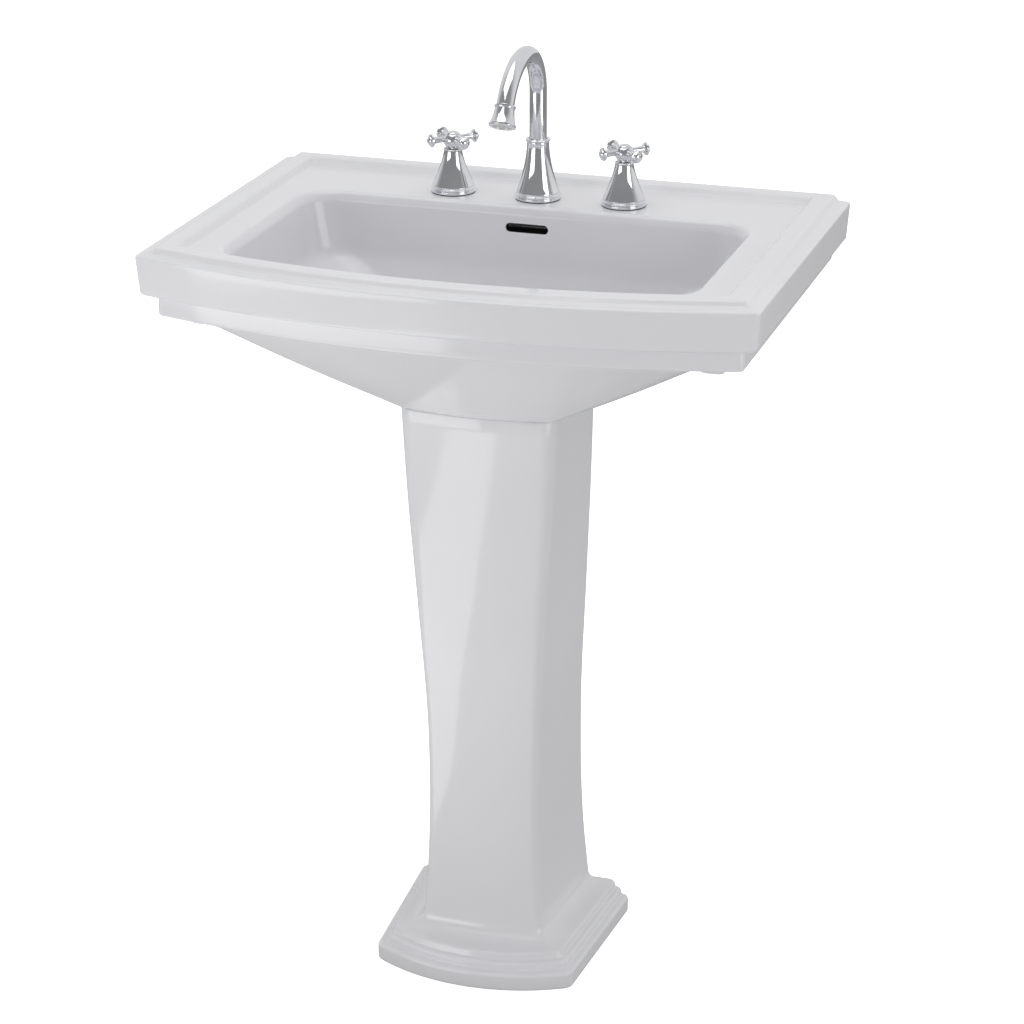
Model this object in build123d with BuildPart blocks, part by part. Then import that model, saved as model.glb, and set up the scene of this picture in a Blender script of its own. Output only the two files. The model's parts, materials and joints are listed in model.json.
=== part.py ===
from build123d import *
import math
import os

os.makedirs("parts", exist_ok=True)

# A china pedestal sink with an eight inch widespread faucet and a pop-up drain.
# Millimetres. +Z is up, the floor is Z = 0, the wall is the plane Y = WALL_Y,
# X = 0 is the plane of symmetry, and the user stands on the -Y side.

# ---------------------------------------------------------------- driving sizes
WIDTH = 686.0
DEPTH = 498.0
DECK_Z = 870.0
FIT = 0.05
SLIP = 0.4
WALL_Y = DEPTH / 2
HALF_W = WIDTH / 2

# basin slab: two stepped tiers, an outer ledge, and a raised rim round the deck
FRONT_BOW = 52.0
FASCIA_H = 44.8
FASCIA_SLOPE = 3.5
TIER_H = 25.2
TIER_INSET = 19.0
LEDGE_W = 11.5
RISER_W = 6.7
RIM_H = 7.0
RIM_BAND = 20.0
RECESS_SLOPE = 6.0
CORNER_R = 5.0
SKIRT_T = 16.0
DECK_T = 14.0

# bowl
SIDE_DECK = 38.0
BOWL_FRONT_GAP = 50.0
BOWL_SETBACK = 134.0
BOWL_BOW = 44.0
BOWL_DEPTH = 148.0
FLOOR_T = 14.0
CHINA_T = 14.0
BOWL_CORNER_R = 38.0
BASE_DROP = 185.0
BASE_HALF_W = 92.0
BASE_RING = 15.0

# pedestal
PEDESTAL_TOP_HALF_W = 90.0
PEDESTAL_WALL = 13.0
PEDESTAL_BOW = 8.0
FOOT_FRONT_HALF_W = 119.0
FOOT_BACK_HALF_W = 132.0
FOOT_BOW = 34.0
PLINTH_H = 21.0
FOOT_H = 56.0
FLOOR_BOLT_R = 6.0
FLOOR_WEB_T = 16.0
PAD_H = 13.0

# places set back from the wall
DRAIN_SETBACK = 249.0
FAUCET_SETBACK = 92.0
FAUCET_SPREAD = 203.2
HOLE_R = 17.5
WALL_BOLT_R = 6.5
WALL_BOLT_SPREAD = 280.0
WALL_BOLT_DROP = 48.0

# overflow
SLOT_W = 52.0
SLOT_H = 12.0
SLOT_DROP = 25.0
DUCT_W = 58.0
DUCT_GAP = 9.0
DUCT_WALL = 7.0

# drain and pop-up
DRAIN_HOLE_R = 22.5
FLANGE_R = 31.0
FLANGE_T = 2.5
DRAIN_TUBE_R = 19.0
DRAIN_BORE_R = 16.0
PORT_R = 4.0
DRAIN_NUT_R = 28.0
BODY_R = 22.5
BALL_R = 7.0
BALL_DROP = 230.0
BALL_SETBACK = 27.0
PIVOT_ROD_R = 2.4
STRAP_T = 1.5
STRAP_W = 12.0
LIFT_OFFSET = 22.0
LIFT_ROD_R = 2.4
LIFT_HOLE_R = 3.2
STOPPER_LIFT = 5.4

# waste
PIPE_R = 15.88
PIPE_T = 1.0
TRAP_BEND_R = 40.0
TRAP_NUT_R = 26.0
TRAP_NUT_H = 20.0
OUTLET_Z = 580.0

# faucet
BASE_R = 25.5
SPOUT_BASE_R = 26.0
BELL_H = 48.0
SPOUT_BELL_H = 66.5
NECK_R = 11.0
NECK_H = 2.6
COLLAR_H = 3.5
GOOSE_R = 9.85
BELL_LIP = 2.65
COLLAR_LIP = 4.15
GOOSE_BORE_R = 8.2
GOOSE_RISE = 122.7
GOOSE_BEND_R = 52.8
GOOSE_DROP_R = 79.2
GOOSE_SWEEP = 151.0
AERATOR_R = 12.2
AERATOR_LEN = 24.0
AERATOR_LIP_R = 15.2
SHANK_R = 10.5
SHANK_DROP = 62.0
GASKET_T = 1.0
NUT_R = 17.0
NUT_H = 9.0
WASHER_R = 24.0
WASHER_T = 2.5
STEM_R = 4.0
HUB_R = 11.0
HUB_H = 19.4
ARM_LEVEL = 62.0
ARM_TIP = 32.2
ARM_ROOT_R = 3.2
ARM_DISC_R = 7.6
CROSSOVER_R = 4.76
INLET_R = 10.4

# ---------------------------------------------------------------- derived places
RIM_Z = DECK_Z + RIM_H
TIER_TOP_Z = DECK_Z - FASCIA_H
TIER_BOTTOM_Z = TIER_TOP_Z - TIER_H
FLOOR_Z = DECK_Z - BOWL_DEPTH
BASE_Z = DECK_Z - BASE_DROP
DRAIN_Y = WALL_Y - DRAIN_SETBACK
FAUCET_Y = WALL_Y - FAUCET_SETBACK
BOWL_BACK_Y = WALL_Y - BOWL_SETBACK
APEX_Y = -DEPTH / 2
BOW_R = (HALF_W**2 + FRONT_BOW**2) / (2 * FRONT_BOW)
LIFT_Y = FAUCET_Y + LIFT_OFFSET
SPOUT_TOP_R = GOOSE_R + BELL_LIP
COLLAR_R = GOOSE_R + COLLAR_LIP
RIM_INSET = LEDGE_W + RISER_W
DECK_INSET = RIM_INSET + RIM_BAND


def upright(x, y, z=0.0):
    """Drawing plane that faces the user, its origin at (x, y, z) and its second axis up."""
    return Plane(origin=(x, y, z), x_dir=(1, 0, 0), z_dir=(0, -1, 0))


def plumb(x, y):
    """Vertical axis through (x, y)."""
    return Axis((x, y, 0), (0, 0, 1))


def dome_mid(radius, height):
    """Point half way out on a spherical cap of that radius and height."""
    ball = (radius**2 + height**2) / (2 * height)
    return radius / 2, height - ball + math.sqrt(ball**2 - radius**2 / 4)


def front_edge_y(x, inset):
    """Y of the bowed front at half width x, moved in by inset on the same centre."""
    return APEX_Y + BOW_R - math.sqrt((BOW_R - inset) ** 2 - x**2)


def bowed_outline(front_half, back_half, front_y, back_y, bow, front_r, back_r):
    """Face with straight sides and back, and a front that bows out by bow."""
    with BuildSketch() as outline:
        with BuildLine():
            Polyline(
                (front_half, front_y),
                (back_half, back_y),
                (-back_half, back_y),
                (-front_half, front_y),
            )
            ThreePointArc((-front_half, front_y), (0, front_y - bow), (front_half, front_y))
        make_face()
        if back_r:
            fillet(outline.vertices().group_by(Axis.Y)[-1], back_r)
        if front_r:
            fillet(outline.vertices().group_by(Axis.Y)[0], front_r)
    return outline.sketch


def slab_outline(inset, back_inset=0.0, corner=CORNER_R):
    """The slab's plan, moved in by inset at the front and sides and by back_inset at the wall."""
    half = HALF_W - inset
    front = front_edge_y(half, inset)
    bow = front - APEX_Y - inset
    return bowed_outline(half, half, front, WALL_Y - back_inset, bow, corner, 0)


def save(piece, node):
    """Label a finished piece and write it as a node of its own."""
    piece.part.label = node
    export_step(piece.part, f"parts/{node}.step")


# ---------------------------------------------------------------- basin
# The outside of the bowl narrows from the slab to the base ring, and the inside
# follows it a wall thickness in, then flares to the mouth above the slab's bottom.
OUTER_TOP_HALF = HALF_W - 59.0
INNER_TOP_HALF = HALF_W - 95.0
OUTER_TOP_APEX = APEX_Y + TIER_INSET + 13.0
OUTER_TOP_BOW = 32.0
OUTER_TOP_BACK = BOWL_BACK_Y + CHINA_T - 4.0
BASE_APEX = DRAIN_Y - 86.0
BASE_BOW = 13.0
BASE_BACK = DRAIN_Y + 78.0
WALL_RUN = 24.0
MOUTH_HALF = HALF_W - DECK_INSET - RECESS_SLOPE - SIDE_DECK
MOUTH_APEX = APEX_Y + BOWL_FRONT_GAP


def outer_level(z, grow=0.0):
    """Plan of the bowl's outside at height z: half width, apex, bow and back."""
    part_way = (TIER_BOTTOM_Z - z) / (TIER_BOTTOM_Z - BASE_Z)
    half = OUTER_TOP_HALF + (BASE_HALF_W - OUTER_TOP_HALF) * part_way
    apex = OUTER_TOP_APEX + (BASE_APEX - OUTER_TOP_APEX) * part_way
    bow = OUTER_TOP_BOW + (BASE_BOW - OUTER_TOP_BOW) * part_way
    back = OUTER_TOP_BACK + (BASE_BACK - OUTER_TOP_BACK) * part_way
    return half - grow, apex + grow, bow, back - grow


def inner_level(z):
    """Plan of the bowl's inside at height z, where the side walls thicken upwards."""
    apex, bow, back = outer_level(z, WALL_RUN)[1:]
    part_way = (TIER_BOTTOM_Z - z) / (TIER_BOTTOM_Z - BASE_Z)
    half = INNER_TOP_HALF + (BASE_HALF_W - WALL_RUN - INNER_TOP_HALF) * part_way
    return half, apex, bow, back


def bowl_section(z, half, apex, bow, back, corner):
    """One rounded section of the bowl, placed at height z."""
    return Plane.XY.offset(z) * bowed_outline(half, half, apex + bow, back, bow, corner, corner)


LEVEL_MID = TIER_BOTTOM_Z - 40.0
LEVEL_LOW = FLOOR_Z + 8.0
FLOOR_SHRINK = 16.0
MID_CORNER = 46.0
OUTER_CORNER = 40.0
BASE_CORNER = 12.0
MOUTH_FLARE = 3.0
MOUTH_TOP = RIM_Z + 1.0

with BuildPart() as basin:
    # fascia, leaning in a little towards its foot
    for level, inset in ((TIER_TOP_Z, FASCIA_SLOPE), (DECK_Z, 0.0)):
        with BuildSketch(Plane.XY.offset(level)):
            add(slab_outline(inset))
    loft()
    # second tier, stepped in
    with BuildSketch(Plane.XY.offset(TIER_BOTTOM_Z)):
        add(slab_outline(TIER_INSET))
    extrude(amount=TIER_H)
    # raised rim behind the outer ledge
    for level, inset in ((DECK_Z, LEDGE_W), (RIM_Z, RIM_INSET)):
        with BuildSketch(Plane.XY.offset(level)):
            add(slab_outline(inset))
    loft()
    # deck sunk inside the rim
    for level, inset, back in (
        (DECK_Z, DECK_INSET + RECESS_SLOPE, RIM_BAND + RECESS_SLOPE),
        (RIM_Z, DECK_INSET, RIM_BAND),
    ):
        with BuildSketch(Plane.XY.offset(level)):
            add(slab_outline(inset, back))
    loft(mode=Mode.SUBTRACT)
    # open underside of the slab
    with BuildSketch(Plane.XY.offset(TIER_BOTTOM_Z)):
        add(slab_outline(TIER_INSET + SKIRT_T, SKIRT_T))
    extrude(amount=DECK_Z - DECK_T - TIER_BOTTOM_Z, mode=Mode.SUBTRACT)
    # outside of the bowl, from inside the deck down to the base ring
    top_half, top_apex, top_bow, top_back = outer_level(TIER_BOTTOM_Z)
    mouth_wall = CHINA_T + MOUTH_FLARE
    loft(
        [
            bowl_section(BASE_Z, *outer_level(BASE_Z), BASE_CORNER),
            bowl_section(TIER_BOTTOM_Z, top_half, top_apex, top_bow, top_back, OUTER_CORNER),
            bowl_section(
                DECK_Z - 1.0,
                MOUTH_HALF + mouth_wall,
                top_apex,
                top_bow,
                BOWL_BACK_Y + mouth_wall,
                OUTER_CORNER,
            ),
        ],
        ruled=True,
    )
    # overflow duct on the back of the bowl, leading down to the drain
    duct_top = DECK_Z - SLOT_DROP + SLOT_H
    duct_mid = TIER_BOTTOM_Z
    boss_r = DRAIN_HOLE_R + 11.5
    duct_floor = FLOOR_Z - FLOOR_T
    inner_back_mid = outer_level(TIER_BOTTOM_Z, CHINA_T)[3]
    inner_back_low = inner_level(LEVEL_LOW)[3]
    duct_line = (
        (BOWL_BACK_Y - 1.0, duct_top),
        (inner_back_mid + 10.0, duct_mid),
        (inner_back_low + 18.0, LEVEL_LOW - 12.0),
    )
    with BuildSketch(Plane.YZ):
        with BuildLine():
            (y_top, z_top), (y_mid, z_mid), (y_low, z_low) = duct_line
            Polyline(
                (y_top, z_top + DUCT_WALL),
                (y_top + DUCT_GAP + DUCT_WALL, z_top + DUCT_WALL),
                (y_mid + DUCT_GAP + DUCT_WALL, z_mid),
                (y_low + DUCT_GAP + DUCT_WALL, z_low - DUCT_WALL),
                (y_low + DUCT_GAP, duct_floor - DUCT_GAP - DUCT_WALL),
                (DRAIN_Y, duct_floor - DUCT_GAP - DUCT_WALL),
                (DRAIN_Y, duct_floor + 2.0),
                (y_low, z_low),
                (y_mid, z_mid),
                close=True,
            )
        make_face()
    extrude(amount=DUCT_W / 2 + DUCT_WALL, both=True)
    # round boss that the drain clamps on
    with BuildSketch(Plane.XY.offset(duct_floor - DUCT_GAP - DUCT_WALL)):
        with Locations((0, DRAIN_Y)):
            Circle(boss_r)
    extrude(amount=FLOOR_Z - duct_floor + DUCT_GAP + DUCT_WALL)
    # two firing pads under the slab
    with BuildSketch(Plane.XY.offset(TIER_BOTTOM_Z - PAD_H)):
        with Locations((OUTER_TOP_HALF, APEX_Y + 112.0), (-OUTER_TOP_HALF, APEX_Y + 112.0)):
            RectangleRounded(26.0, 44.0, 8.0)
    extrude(amount=DECK_Z - TIER_BOTTOM_Z + PAD_H - 4.0)
    # inside of the bowl
    low_half, low_apex, low_bow, low_back = inner_level(LEVEL_LOW)
    mid_half, mid_apex, mid_bow, mid_back = inner_level(LEVEL_MID)
    in_half, in_apex, in_bow = inner_level(TIER_BOTTOM_Z)[:3]
    loft(
        [
            bowl_section(
                FLOOR_Z,
                low_half - FLOOR_SHRINK,
                low_apex + FLOOR_SHRINK,
                low_bow,
                low_back - FLOOR_SHRINK,
                BOWL_CORNER_R,
            ),
            bowl_section(LEVEL_LOW, low_half, low_apex, low_bow, low_back, BOWL_CORNER_R),
            bowl_section(LEVEL_MID, mid_half, mid_apex, mid_bow, mid_back, MID_CORNER),
            bowl_section(TIER_BOTTOM_Z, in_half, in_apex, in_bow, inner_back_mid, MID_CORNER),
            bowl_section(DECK_Z, MOUTH_HALF, MOUTH_APEX, BOWL_BOW, BOWL_BACK_Y, BOWL_CORNER_R),
            bowl_section(MOUTH_TOP, MOUTH_HALF, MOUTH_APEX, BOWL_BOW, BOWL_BACK_Y, BOWL_CORNER_R),
        ],
        ruled=True,
        mode=Mode.SUBTRACT,
    )
    # overflow passage inside the duct, and its slot in the bowl's back wall
    with BuildSketch(Plane.YZ):
        with BuildLine():
            Polyline(
                (y_top + 10.0, z_top),
                (y_top + DUCT_GAP + 4.0, z_top),
                (y_mid + DUCT_GAP, z_mid),
                (y_low + DUCT_GAP, z_low - 2.0),
                (y_low + 4.0, duct_floor - DUCT_GAP),
                (DRAIN_Y, duct_floor - DUCT_GAP),
                (DRAIN_Y, duct_floor),
                (y_low - 6.0, duct_floor),
                (y_low - 1.0, z_low),
                (y_mid + 1.0, z_mid),
                close=True,
            )
        make_face()
    extrude(amount=DUCT_W / 2, both=True, mode=Mode.SUBTRACT)
    with BuildSketch(upright(0, BOWL_BACK_Y - 30.0, DECK_Z - SLOT_DROP)):
        SlotOverall(SLOT_W, SLOT_H)
    extrude(amount=-30.0 - DUCT_GAP, mode=Mode.SUBTRACT)
    # recess in the base ring, around the drain boss and the duct
    with BuildSketch(Plane.XY.offset(BASE_Z)):
        base_half, base_apex, base_bow, base_back = outer_level(BASE_Z, BASE_RING)
        add(bowed_outline(base_half, base_half, base_apex + base_bow, base_back, base_bow, 6.0, 6.0))
    extrude(amount=duct_floor - DUCT_GAP - DUCT_WALL - BASE_Z, mode=Mode.SUBTRACT)
    # drain hole with a seat for the flange
    with Locations((0, DRAIN_Y, FLOOR_Z)):
        CounterBoreHole(DRAIN_HOLE_R, FLANGE_R + 1.0, FLANGE_T)
    # three faucet holes; the middle one has a slot behind it for the lift rod
    with Locations(*[(x, FAUCET_Y, DECK_Z) for x in (-FAUCET_SPREAD / 2, 0, FAUCET_SPREAD / 2)]):
        Hole(HOLE_R, depth=DECK_T + 1.0)
    with BuildSketch(Plane.XY.offset(DECK_Z)):
        with Locations((0, (FAUCET_Y + LIFT_Y) / 2)):
            Rectangle(2 * LIFT_HOLE_R, LIFT_OFFSET)
        with Locations((0, LIFT_Y)):
            Circle(LIFT_HOLE_R)
    extrude(amount=-DECK_T - 1.0, mode=Mode.SUBTRACT)
    # two bolt holes through the back skirt
    with BuildSketch(upright(0, WALL_Y, RIM_Z - WALL_BOLT_DROP)):
        with Locations((-WALL_BOLT_SPREAD / 2, 0), (WALL_BOLT_SPREAD / 2, 0)):
            Circle(WALL_BOLT_R)
    extrude(amount=SKIRT_T + 1.0, mode=Mode.SUBTRACT)
basin.part.label = "basin"
export_step(basin.part, "parts/basin.step")

# ---------------------------------------------------------------- pedestal
# Height as a share of the column, front half width, back half width, and the
# front corner's and back's distance from the drain axis.
COLUMN_LEVELS = (
    (0.00, 72.0, 85.0, 59.0, 100.0),
    (0.10, 67.5, 79.0, 58.0, 99.0),
    (0.36, 66.0, 75.0, 57.0, 97.0),
    (0.62, 75.0, 81.0, 66.0, 95.0),
    (0.82, 84.0, 86.0, 72.0, 92.0),
    (1.00, PEDESTAL_TOP_HALF_W, PEDESTAL_TOP_HALF_W - 1.0, 76.0, 90.0),
)
COLUMN_CORNER = 14.0
FOOT_FRONT = 91.0
FOOT_BACK = 115.0
# moulding of the foot: bottom, height and how far each step stands in from the plinth
FOOT_STEPS = ((0.0, PLINTH_H, 0.0), (PLINTH_H, 9.0, 9.0), (PLINTH_H + 9.0, 8.0, 17.0))
STEP_TOP = PLINTH_H + 17.0
COVE_INSET = 20.0
FLOOR_WEB_FRONT = 30.0
FLOOR_WEB_BACK = 74.0


def column_plan(level, inset, back_extra):
    """Corner sizes of the column at one level, moved in by inset."""
    share, front, back, ahead, behind = level
    z = FOOT_H + share * (BASE_Z - FOOT_H)
    return z, front - inset, back - inset, DRAIN_Y - ahead + inset, DRAIN_Y + behind + back_extra


def foot_outline(inset):
    """Plan of the foot, moved in by inset at the front and sides."""
    return bowed_outline(
        FOOT_FRONT_HALF_W - inset,
        FOOT_BACK_HALF_W - inset,
        DRAIN_Y - FOOT_FRONT + inset,
        DRAIN_Y + FOOT_BACK,
        FOOT_BOW * (FOOT_FRONT_HALF_W - inset) / FOOT_FRONT_HALF_W,
        12.0,
        8.0,
    )


with BuildPart() as pedestal:
    for bottom, height, inset in FOOT_STEPS:
        with BuildSketch(Plane.XY.offset(bottom)):
            add(foot_outline(inset))
        extrude(amount=height)
    # cove from the top step up to the column
    foot_level = column_plan(COLUMN_LEVELS[0], 0.0, 0.0)
    with BuildSketch(Plane.XY.offset(STEP_TOP)):
        add(foot_outline(COVE_INSET))
    with BuildSketch(Plane.XY.offset(FOOT_H)):
        add(bowed_outline(*foot_level[1:], PEDESTAL_BOW, COLUMN_CORNER, 8.0))
    loft()
    # column
    for level in COLUMN_LEVELS:
        z, *plan = column_plan(level, 0.0, 0.0)
        with BuildSketch(Plane.XY.offset(z)):
            add(bowed_outline(*plan, PEDESTAL_BOW, COLUMN_CORNER, 4.0))
    loft(ruled=True)
    # hollow, open at the back and the top
    for level in COLUMN_LEVELS:
        z, *plan = column_plan(level, PEDESTAL_WALL, 30.0)
        with BuildSketch(Plane.XY.offset(z)):
            add(bowed_outline(*plan, PEDESTAL_BOW, 4.0, 0))
    loft(ruled=True, mode=Mode.SUBTRACT)
    # hollow of the foot
    z, *plan = column_plan(COLUMN_LEVELS[0], PEDESTAL_WALL, 30.0)
    with BuildSketch():
        add(bowed_outline(*plan, PEDESTAL_BOW, 4.0, 0))
    extrude(amount=FOOT_H, mode=Mode.SUBTRACT)
    # web across the foot, with the floor bolt hole
    web_half = column_plan(COLUMN_LEVELS[0], PEDESTAL_WALL, 0.0)[1] + 10.0
    with BuildSketch():
        with Locations((0, DRAIN_Y + (FLOOR_WEB_FRONT + FLOOR_WEB_BACK) / 2)):
            Rectangle(2 * web_half, FLOOR_WEB_BACK - FLOOR_WEB_FRONT)
    extrude(amount=FLOOR_WEB_T)
    with Locations((0, DRAIN_Y + (FLOOR_WEB_FRONT + FLOOR_WEB_BACK) / 2, FLOOR_WEB_T)):
        Hole(FLOOR_BOLT_R, depth=FLOOR_WEB_T + 1.0)
pedestal.part.label = "pedestal"
export_step(pedestal.part, "parts/pedestal.step")

# ---------------------------------------------------------------- drain and pop-up
SEAT_Z = FLOOR_Z - FLANGE_T
BOSS_BOTTOM_Z = FLOOR_Z - FLOOR_T - DUCT_GAP - DUCT_WALL
BALL_Z = DECK_Z - BALL_DROP
BALL_Y = DRAIN_Y + BALL_SETBACK
FLANGE_TUBE_END = BALL_Z + 18.0
GASKET_H = 12.0
FIBRE_T = 2.0
DRAIN_NUT_H = 10.0
BODY_TOP = FLANGE_TUBE_END + 8.0
BODY_END = BALL_Z - 40.0
TAIL_INSERT = 12.0
PORT_HALF_LENGTH = DRAIN_TUBE_R + 5.0
FLANGE_LAND = (FLANGE_R - DRAIN_BORE_R) / 3
drain_plane = upright(0, DRAIN_Y)
drain_axis = plumb(0, DRAIN_Y)

with BuildPart() as drain_flange:
    with BuildSketch(drain_plane):
        with BuildLine():
            Polyline(
                (DRAIN_BORE_R, FLANGE_TUBE_END),
                (DRAIN_TUBE_R, FLANGE_TUBE_END),
                (DRAIN_TUBE_R, SEAT_Z),
                (FLANGE_R, SEAT_Z),
                (FLANGE_R, SEAT_Z + 1.0),
                (FLANGE_R - FLANGE_LAND, SEAT_Z + FLANGE_T),
                (DRAIN_BORE_R + FLANGE_LAND, SEAT_Z + FLANGE_T),
                (DRAIN_BORE_R, SEAT_Z - 2.0),
                close=True,
            )
        make_face()
    revolve(axis=drain_axis)
    with BuildSketch(upright(0, DRAIN_Y, FLOOR_Z - FLOOR_T - DUCT_GAP / 2)):
        Circle(PORT_R)
    extrude(amount=PORT_HALF_LENGTH, both=True, mode=Mode.SUBTRACT)
drain_flange.part.label = "drain_flange"
export_step(drain_flange.part, "parts/drain_flange.step")

with BuildPart() as drain_gasket:
    with BuildSketch(drain_plane):
        with BuildLine():
            Polyline(
                (DRAIN_TUBE_R + FIT, BOSS_BOTTOM_Z),
                (DRAIN_TUBE_R + 12.0, BOSS_BOTTOM_Z),
                (DRAIN_TUBE_R + 8.0, BOSS_BOTTOM_Z - GASKET_H),
                (DRAIN_TUBE_R + FIT, BOSS_BOTTOM_Z - GASKET_H),
                close=True,
            )
        make_face()
    revolve(axis=drain_axis)
drain_gasket.part.label = "drain_gasket"
export_step(drain_gasket.part, "parts/drain_gasket.step")

FIBRE_TOP = BOSS_BOTTOM_Z - GASKET_H
with BuildPart() as drain_washer:
    with BuildSketch(Plane.XY.offset(FIBRE_TOP)):
        with Locations((0, DRAIN_Y)):
            Circle(DRAIN_NUT_R)
            Circle(DRAIN_TUBE_R + SLIP, mode=Mode.SUBTRACT)
    extrude(amount=-FIBRE_T)
drain_washer.part.label = "drain_washer"
export_step(drain_washer.part, "parts/drain_washer.step")

with BuildPart() as drain_nut:
    with BuildSketch(Plane.XY.offset(FIBRE_TOP - FIBRE_T)):
        with Locations((0, DRAIN_Y)):
            RegularPolygon(DRAIN_NUT_R, 6)
            Circle(DRAIN_TUBE_R + FIT, mode=Mode.SUBTRACT)
    extrude(amount=-DRAIN_NUT_H)
drain_nut.part.label = "drain_nut"
export_step(drain_nut.part, "parts/drain_nut.step")

# The pivot port is a sleeve on the back of the drain body. The ball sits in it
# between two seats, and the pivot nut holds them there.
PORT_BORE_R = 9.0
PORT_R_OUT = 12.0
PORT_START = 14.0
PORT_END = BALL_SETBACK + BALL_R
SEAT_T = 7.5
SEAT_GAP = 0.3
ROD_CLEAR_R = 6.4

with BuildPart() as drain_body:
    with BuildSketch(drain_plane):
        with BuildLine():
            Polyline(
                (DRAIN_TUBE_R + FIT, BODY_TOP),
                (BODY_R, BODY_TOP),
                (BODY_R, FLANGE_TUBE_END - 4.0),
                (DRAIN_TUBE_R, BALL_Z + 6.0),
                (DRAIN_TUBE_R, BODY_END),
                (DRAIN_BORE_R, BODY_END),
                (DRAIN_BORE_R, FLANGE_TUBE_END),
                (DRAIN_TUBE_R + FIT, FLANGE_TUBE_END),
                close=True,
            )
        make_face()
    revolve(axis=drain_axis)
    with BuildSketch(upright(0, DRAIN_Y + PORT_START, BALL_Z)):
        Circle(PORT_R_OUT)
    extrude(amount=-(PORT_END - PORT_START))
    with BuildSketch(drain_plane):
        with BuildLine():
            Polyline(
                (0, BODY_END),
                (DRAIN_BORE_R, BODY_END),
                (DRAIN_BORE_R, BODY_TOP),
                (0, BODY_TOP),
                close=True,
            )
        make_face()
    revolve(axis=drain_axis, mode=Mode.SUBTRACT)
    with BuildSketch(upright(0, DRAIN_Y, BALL_Z)):
        Circle(ROD_CLEAR_R)
    extrude(amount=-PORT_END, mode=Mode.SUBTRACT)
    with BuildSketch(upright(0, DRAIN_Y + BALL_SETBACK - SEAT_T, BALL_Z)):
        Circle(PORT_BORE_R)
    extrude(amount=-(BALL_R + SEAT_T), mode=Mode.SUBTRACT)
drain_body.part.label = "drain_body"
export_step(drain_body.part, "parts/drain_body.step")

with BuildPart() as pivot_seats:
    for start, depth in ((BALL_Y - SEAT_T, SEAT_T - SEAT_GAP), (BALL_Y + SEAT_GAP, BALL_R - SEAT_GAP)):
        with BuildSketch(upright(0, start, BALL_Z)):
            Circle(PORT_BORE_R - FIT)
            Circle(ROD_CLEAR_R - 1.0, mode=Mode.SUBTRACT)
        extrude(amount=-depth)
    with Locations((0, BALL_Y, BALL_Z)):
        Sphere(BALL_R + FIT, mode=Mode.SUBTRACT)
pivot_seats.part.label = "pivot_seats"
export_step(pivot_seats.part, "parts/pivot_seats.step")

PIVOT_NUT_R = 15.5
PIVOT_NUT_SKIRT = 9.0
PIVOT_NUT_END = 4.0
with BuildPart() as pivot_nut:
    with BuildSketch(upright(0, DRAIN_Y + PORT_END - PIVOT_NUT_SKIRT, BALL_Z)):
        RegularPolygon(PIVOT_NUT_R, 8)
    extrude(amount=-(PIVOT_NUT_SKIRT + PIVOT_NUT_END))
    with BuildSketch(upright(0, DRAIN_Y + PORT_END - PIVOT_NUT_SKIRT, BALL_Z)):
        Circle(PORT_R_OUT + FIT)
    extrude(amount=-PIVOT_NUT_SKIRT, mode=Mode.SUBTRACT)
    with BuildSketch(upright(0, DRAIN_Y + PORT_END, BALL_Z)):
        Circle(ROD_CLEAR_R)
    extrude(amount=-PIVOT_NUT_END, mode=Mode.SUBTRACT)
pivot_nut.part.label = "pivot_nut"
export_step(pivot_nut.part, "parts/pivot_nut.step")

STRAP_Y = LIFT_Y + LIFT_ROD_R + 0.8
ROD_TAIL = 12.0
ROD_NOSE = 4.0
with BuildPart() as pivot_rod:
    with BuildSketch(upright(0, DRAIN_Y - ROD_NOSE, BALL_Z)):
        Circle(PIVOT_ROD_R)
    extrude(amount=-(STRAP_Y + STRAP_T + ROD_TAIL - DRAIN_Y + ROD_NOSE))
    with Locations((0, BALL_Y, BALL_Z)):
        Sphere(BALL_R)
pivot_rod.part.label = "pivot_rod"
export_step(pivot_rod.part, "parts/pivot_rod.step")

# The stopper stands open at rest. Its stem has an eye that the pivot rod's nose
# passes through.
STOPPER_CAP_R = 22.5
SEAL_R = 20.0
SEAL_T = 2.5
SEAL_Z = SEAT_Z + FLANGE_T + STOPPER_LIFT + 0.4
CAP_EDGE = 2.6
CAP_DOME = 3.0
STOPPER_STEM_R = 7.0
EYE_R = 4.4
EYE_BELOW = 9.0

with BuildPart() as stopper:
    with BuildSketch(drain_plane):
        with BuildLine():
            Polyline(
                (0, SEAL_Z + SEAL_T + CAP_EDGE + CAP_DOME),
                (0, BALL_Z - EYE_BELOW),
                (STOPPER_STEM_R, BALL_Z - EYE_BELOW),
                (STOPPER_STEM_R, SEAL_Z + SEAL_T),
                (STOPPER_CAP_R, SEAL_Z + SEAL_T),
                (STOPPER_CAP_R, SEAL_Z + SEAL_T + CAP_EDGE),
            )
            dome_r, dome_z = dome_mid(STOPPER_CAP_R, CAP_DOME)
            ThreePointArc(
                (STOPPER_CAP_R, SEAL_Z + SEAL_T + CAP_EDGE),
                (dome_r, SEAL_Z + SEAL_T + CAP_EDGE + dome_z),
                (0, SEAL_Z + SEAL_T + CAP_EDGE + CAP_DOME),
            )
        make_face()
    revolve(axis=drain_axis)
    with BuildSketch(upright(0, DRAIN_Y, BALL_Z)):
        Circle(EYE_R)
    extrude(amount=STOPPER_STEM_R + 1.0, both=True, mode=Mode.SUBTRACT)
stopper.part.label = "stopper"
export_step(stopper.part, "parts/stopper.step")

with BuildPart() as stopper_seal:
    with BuildSketch(Plane.XY.offset(SEAL_Z)):
        with Locations((0, DRAIN_Y)):
            Circle(SEAL_R)
            Circle(STOPPER_STEM_R + FIT, mode=Mode.SUBTRACT)
    extrude(amount=SEAL_T)
stopper_seal.part.label = "stopper_seal"
export_step(stopper_seal.part, "parts/stopper_seal.step")

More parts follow.
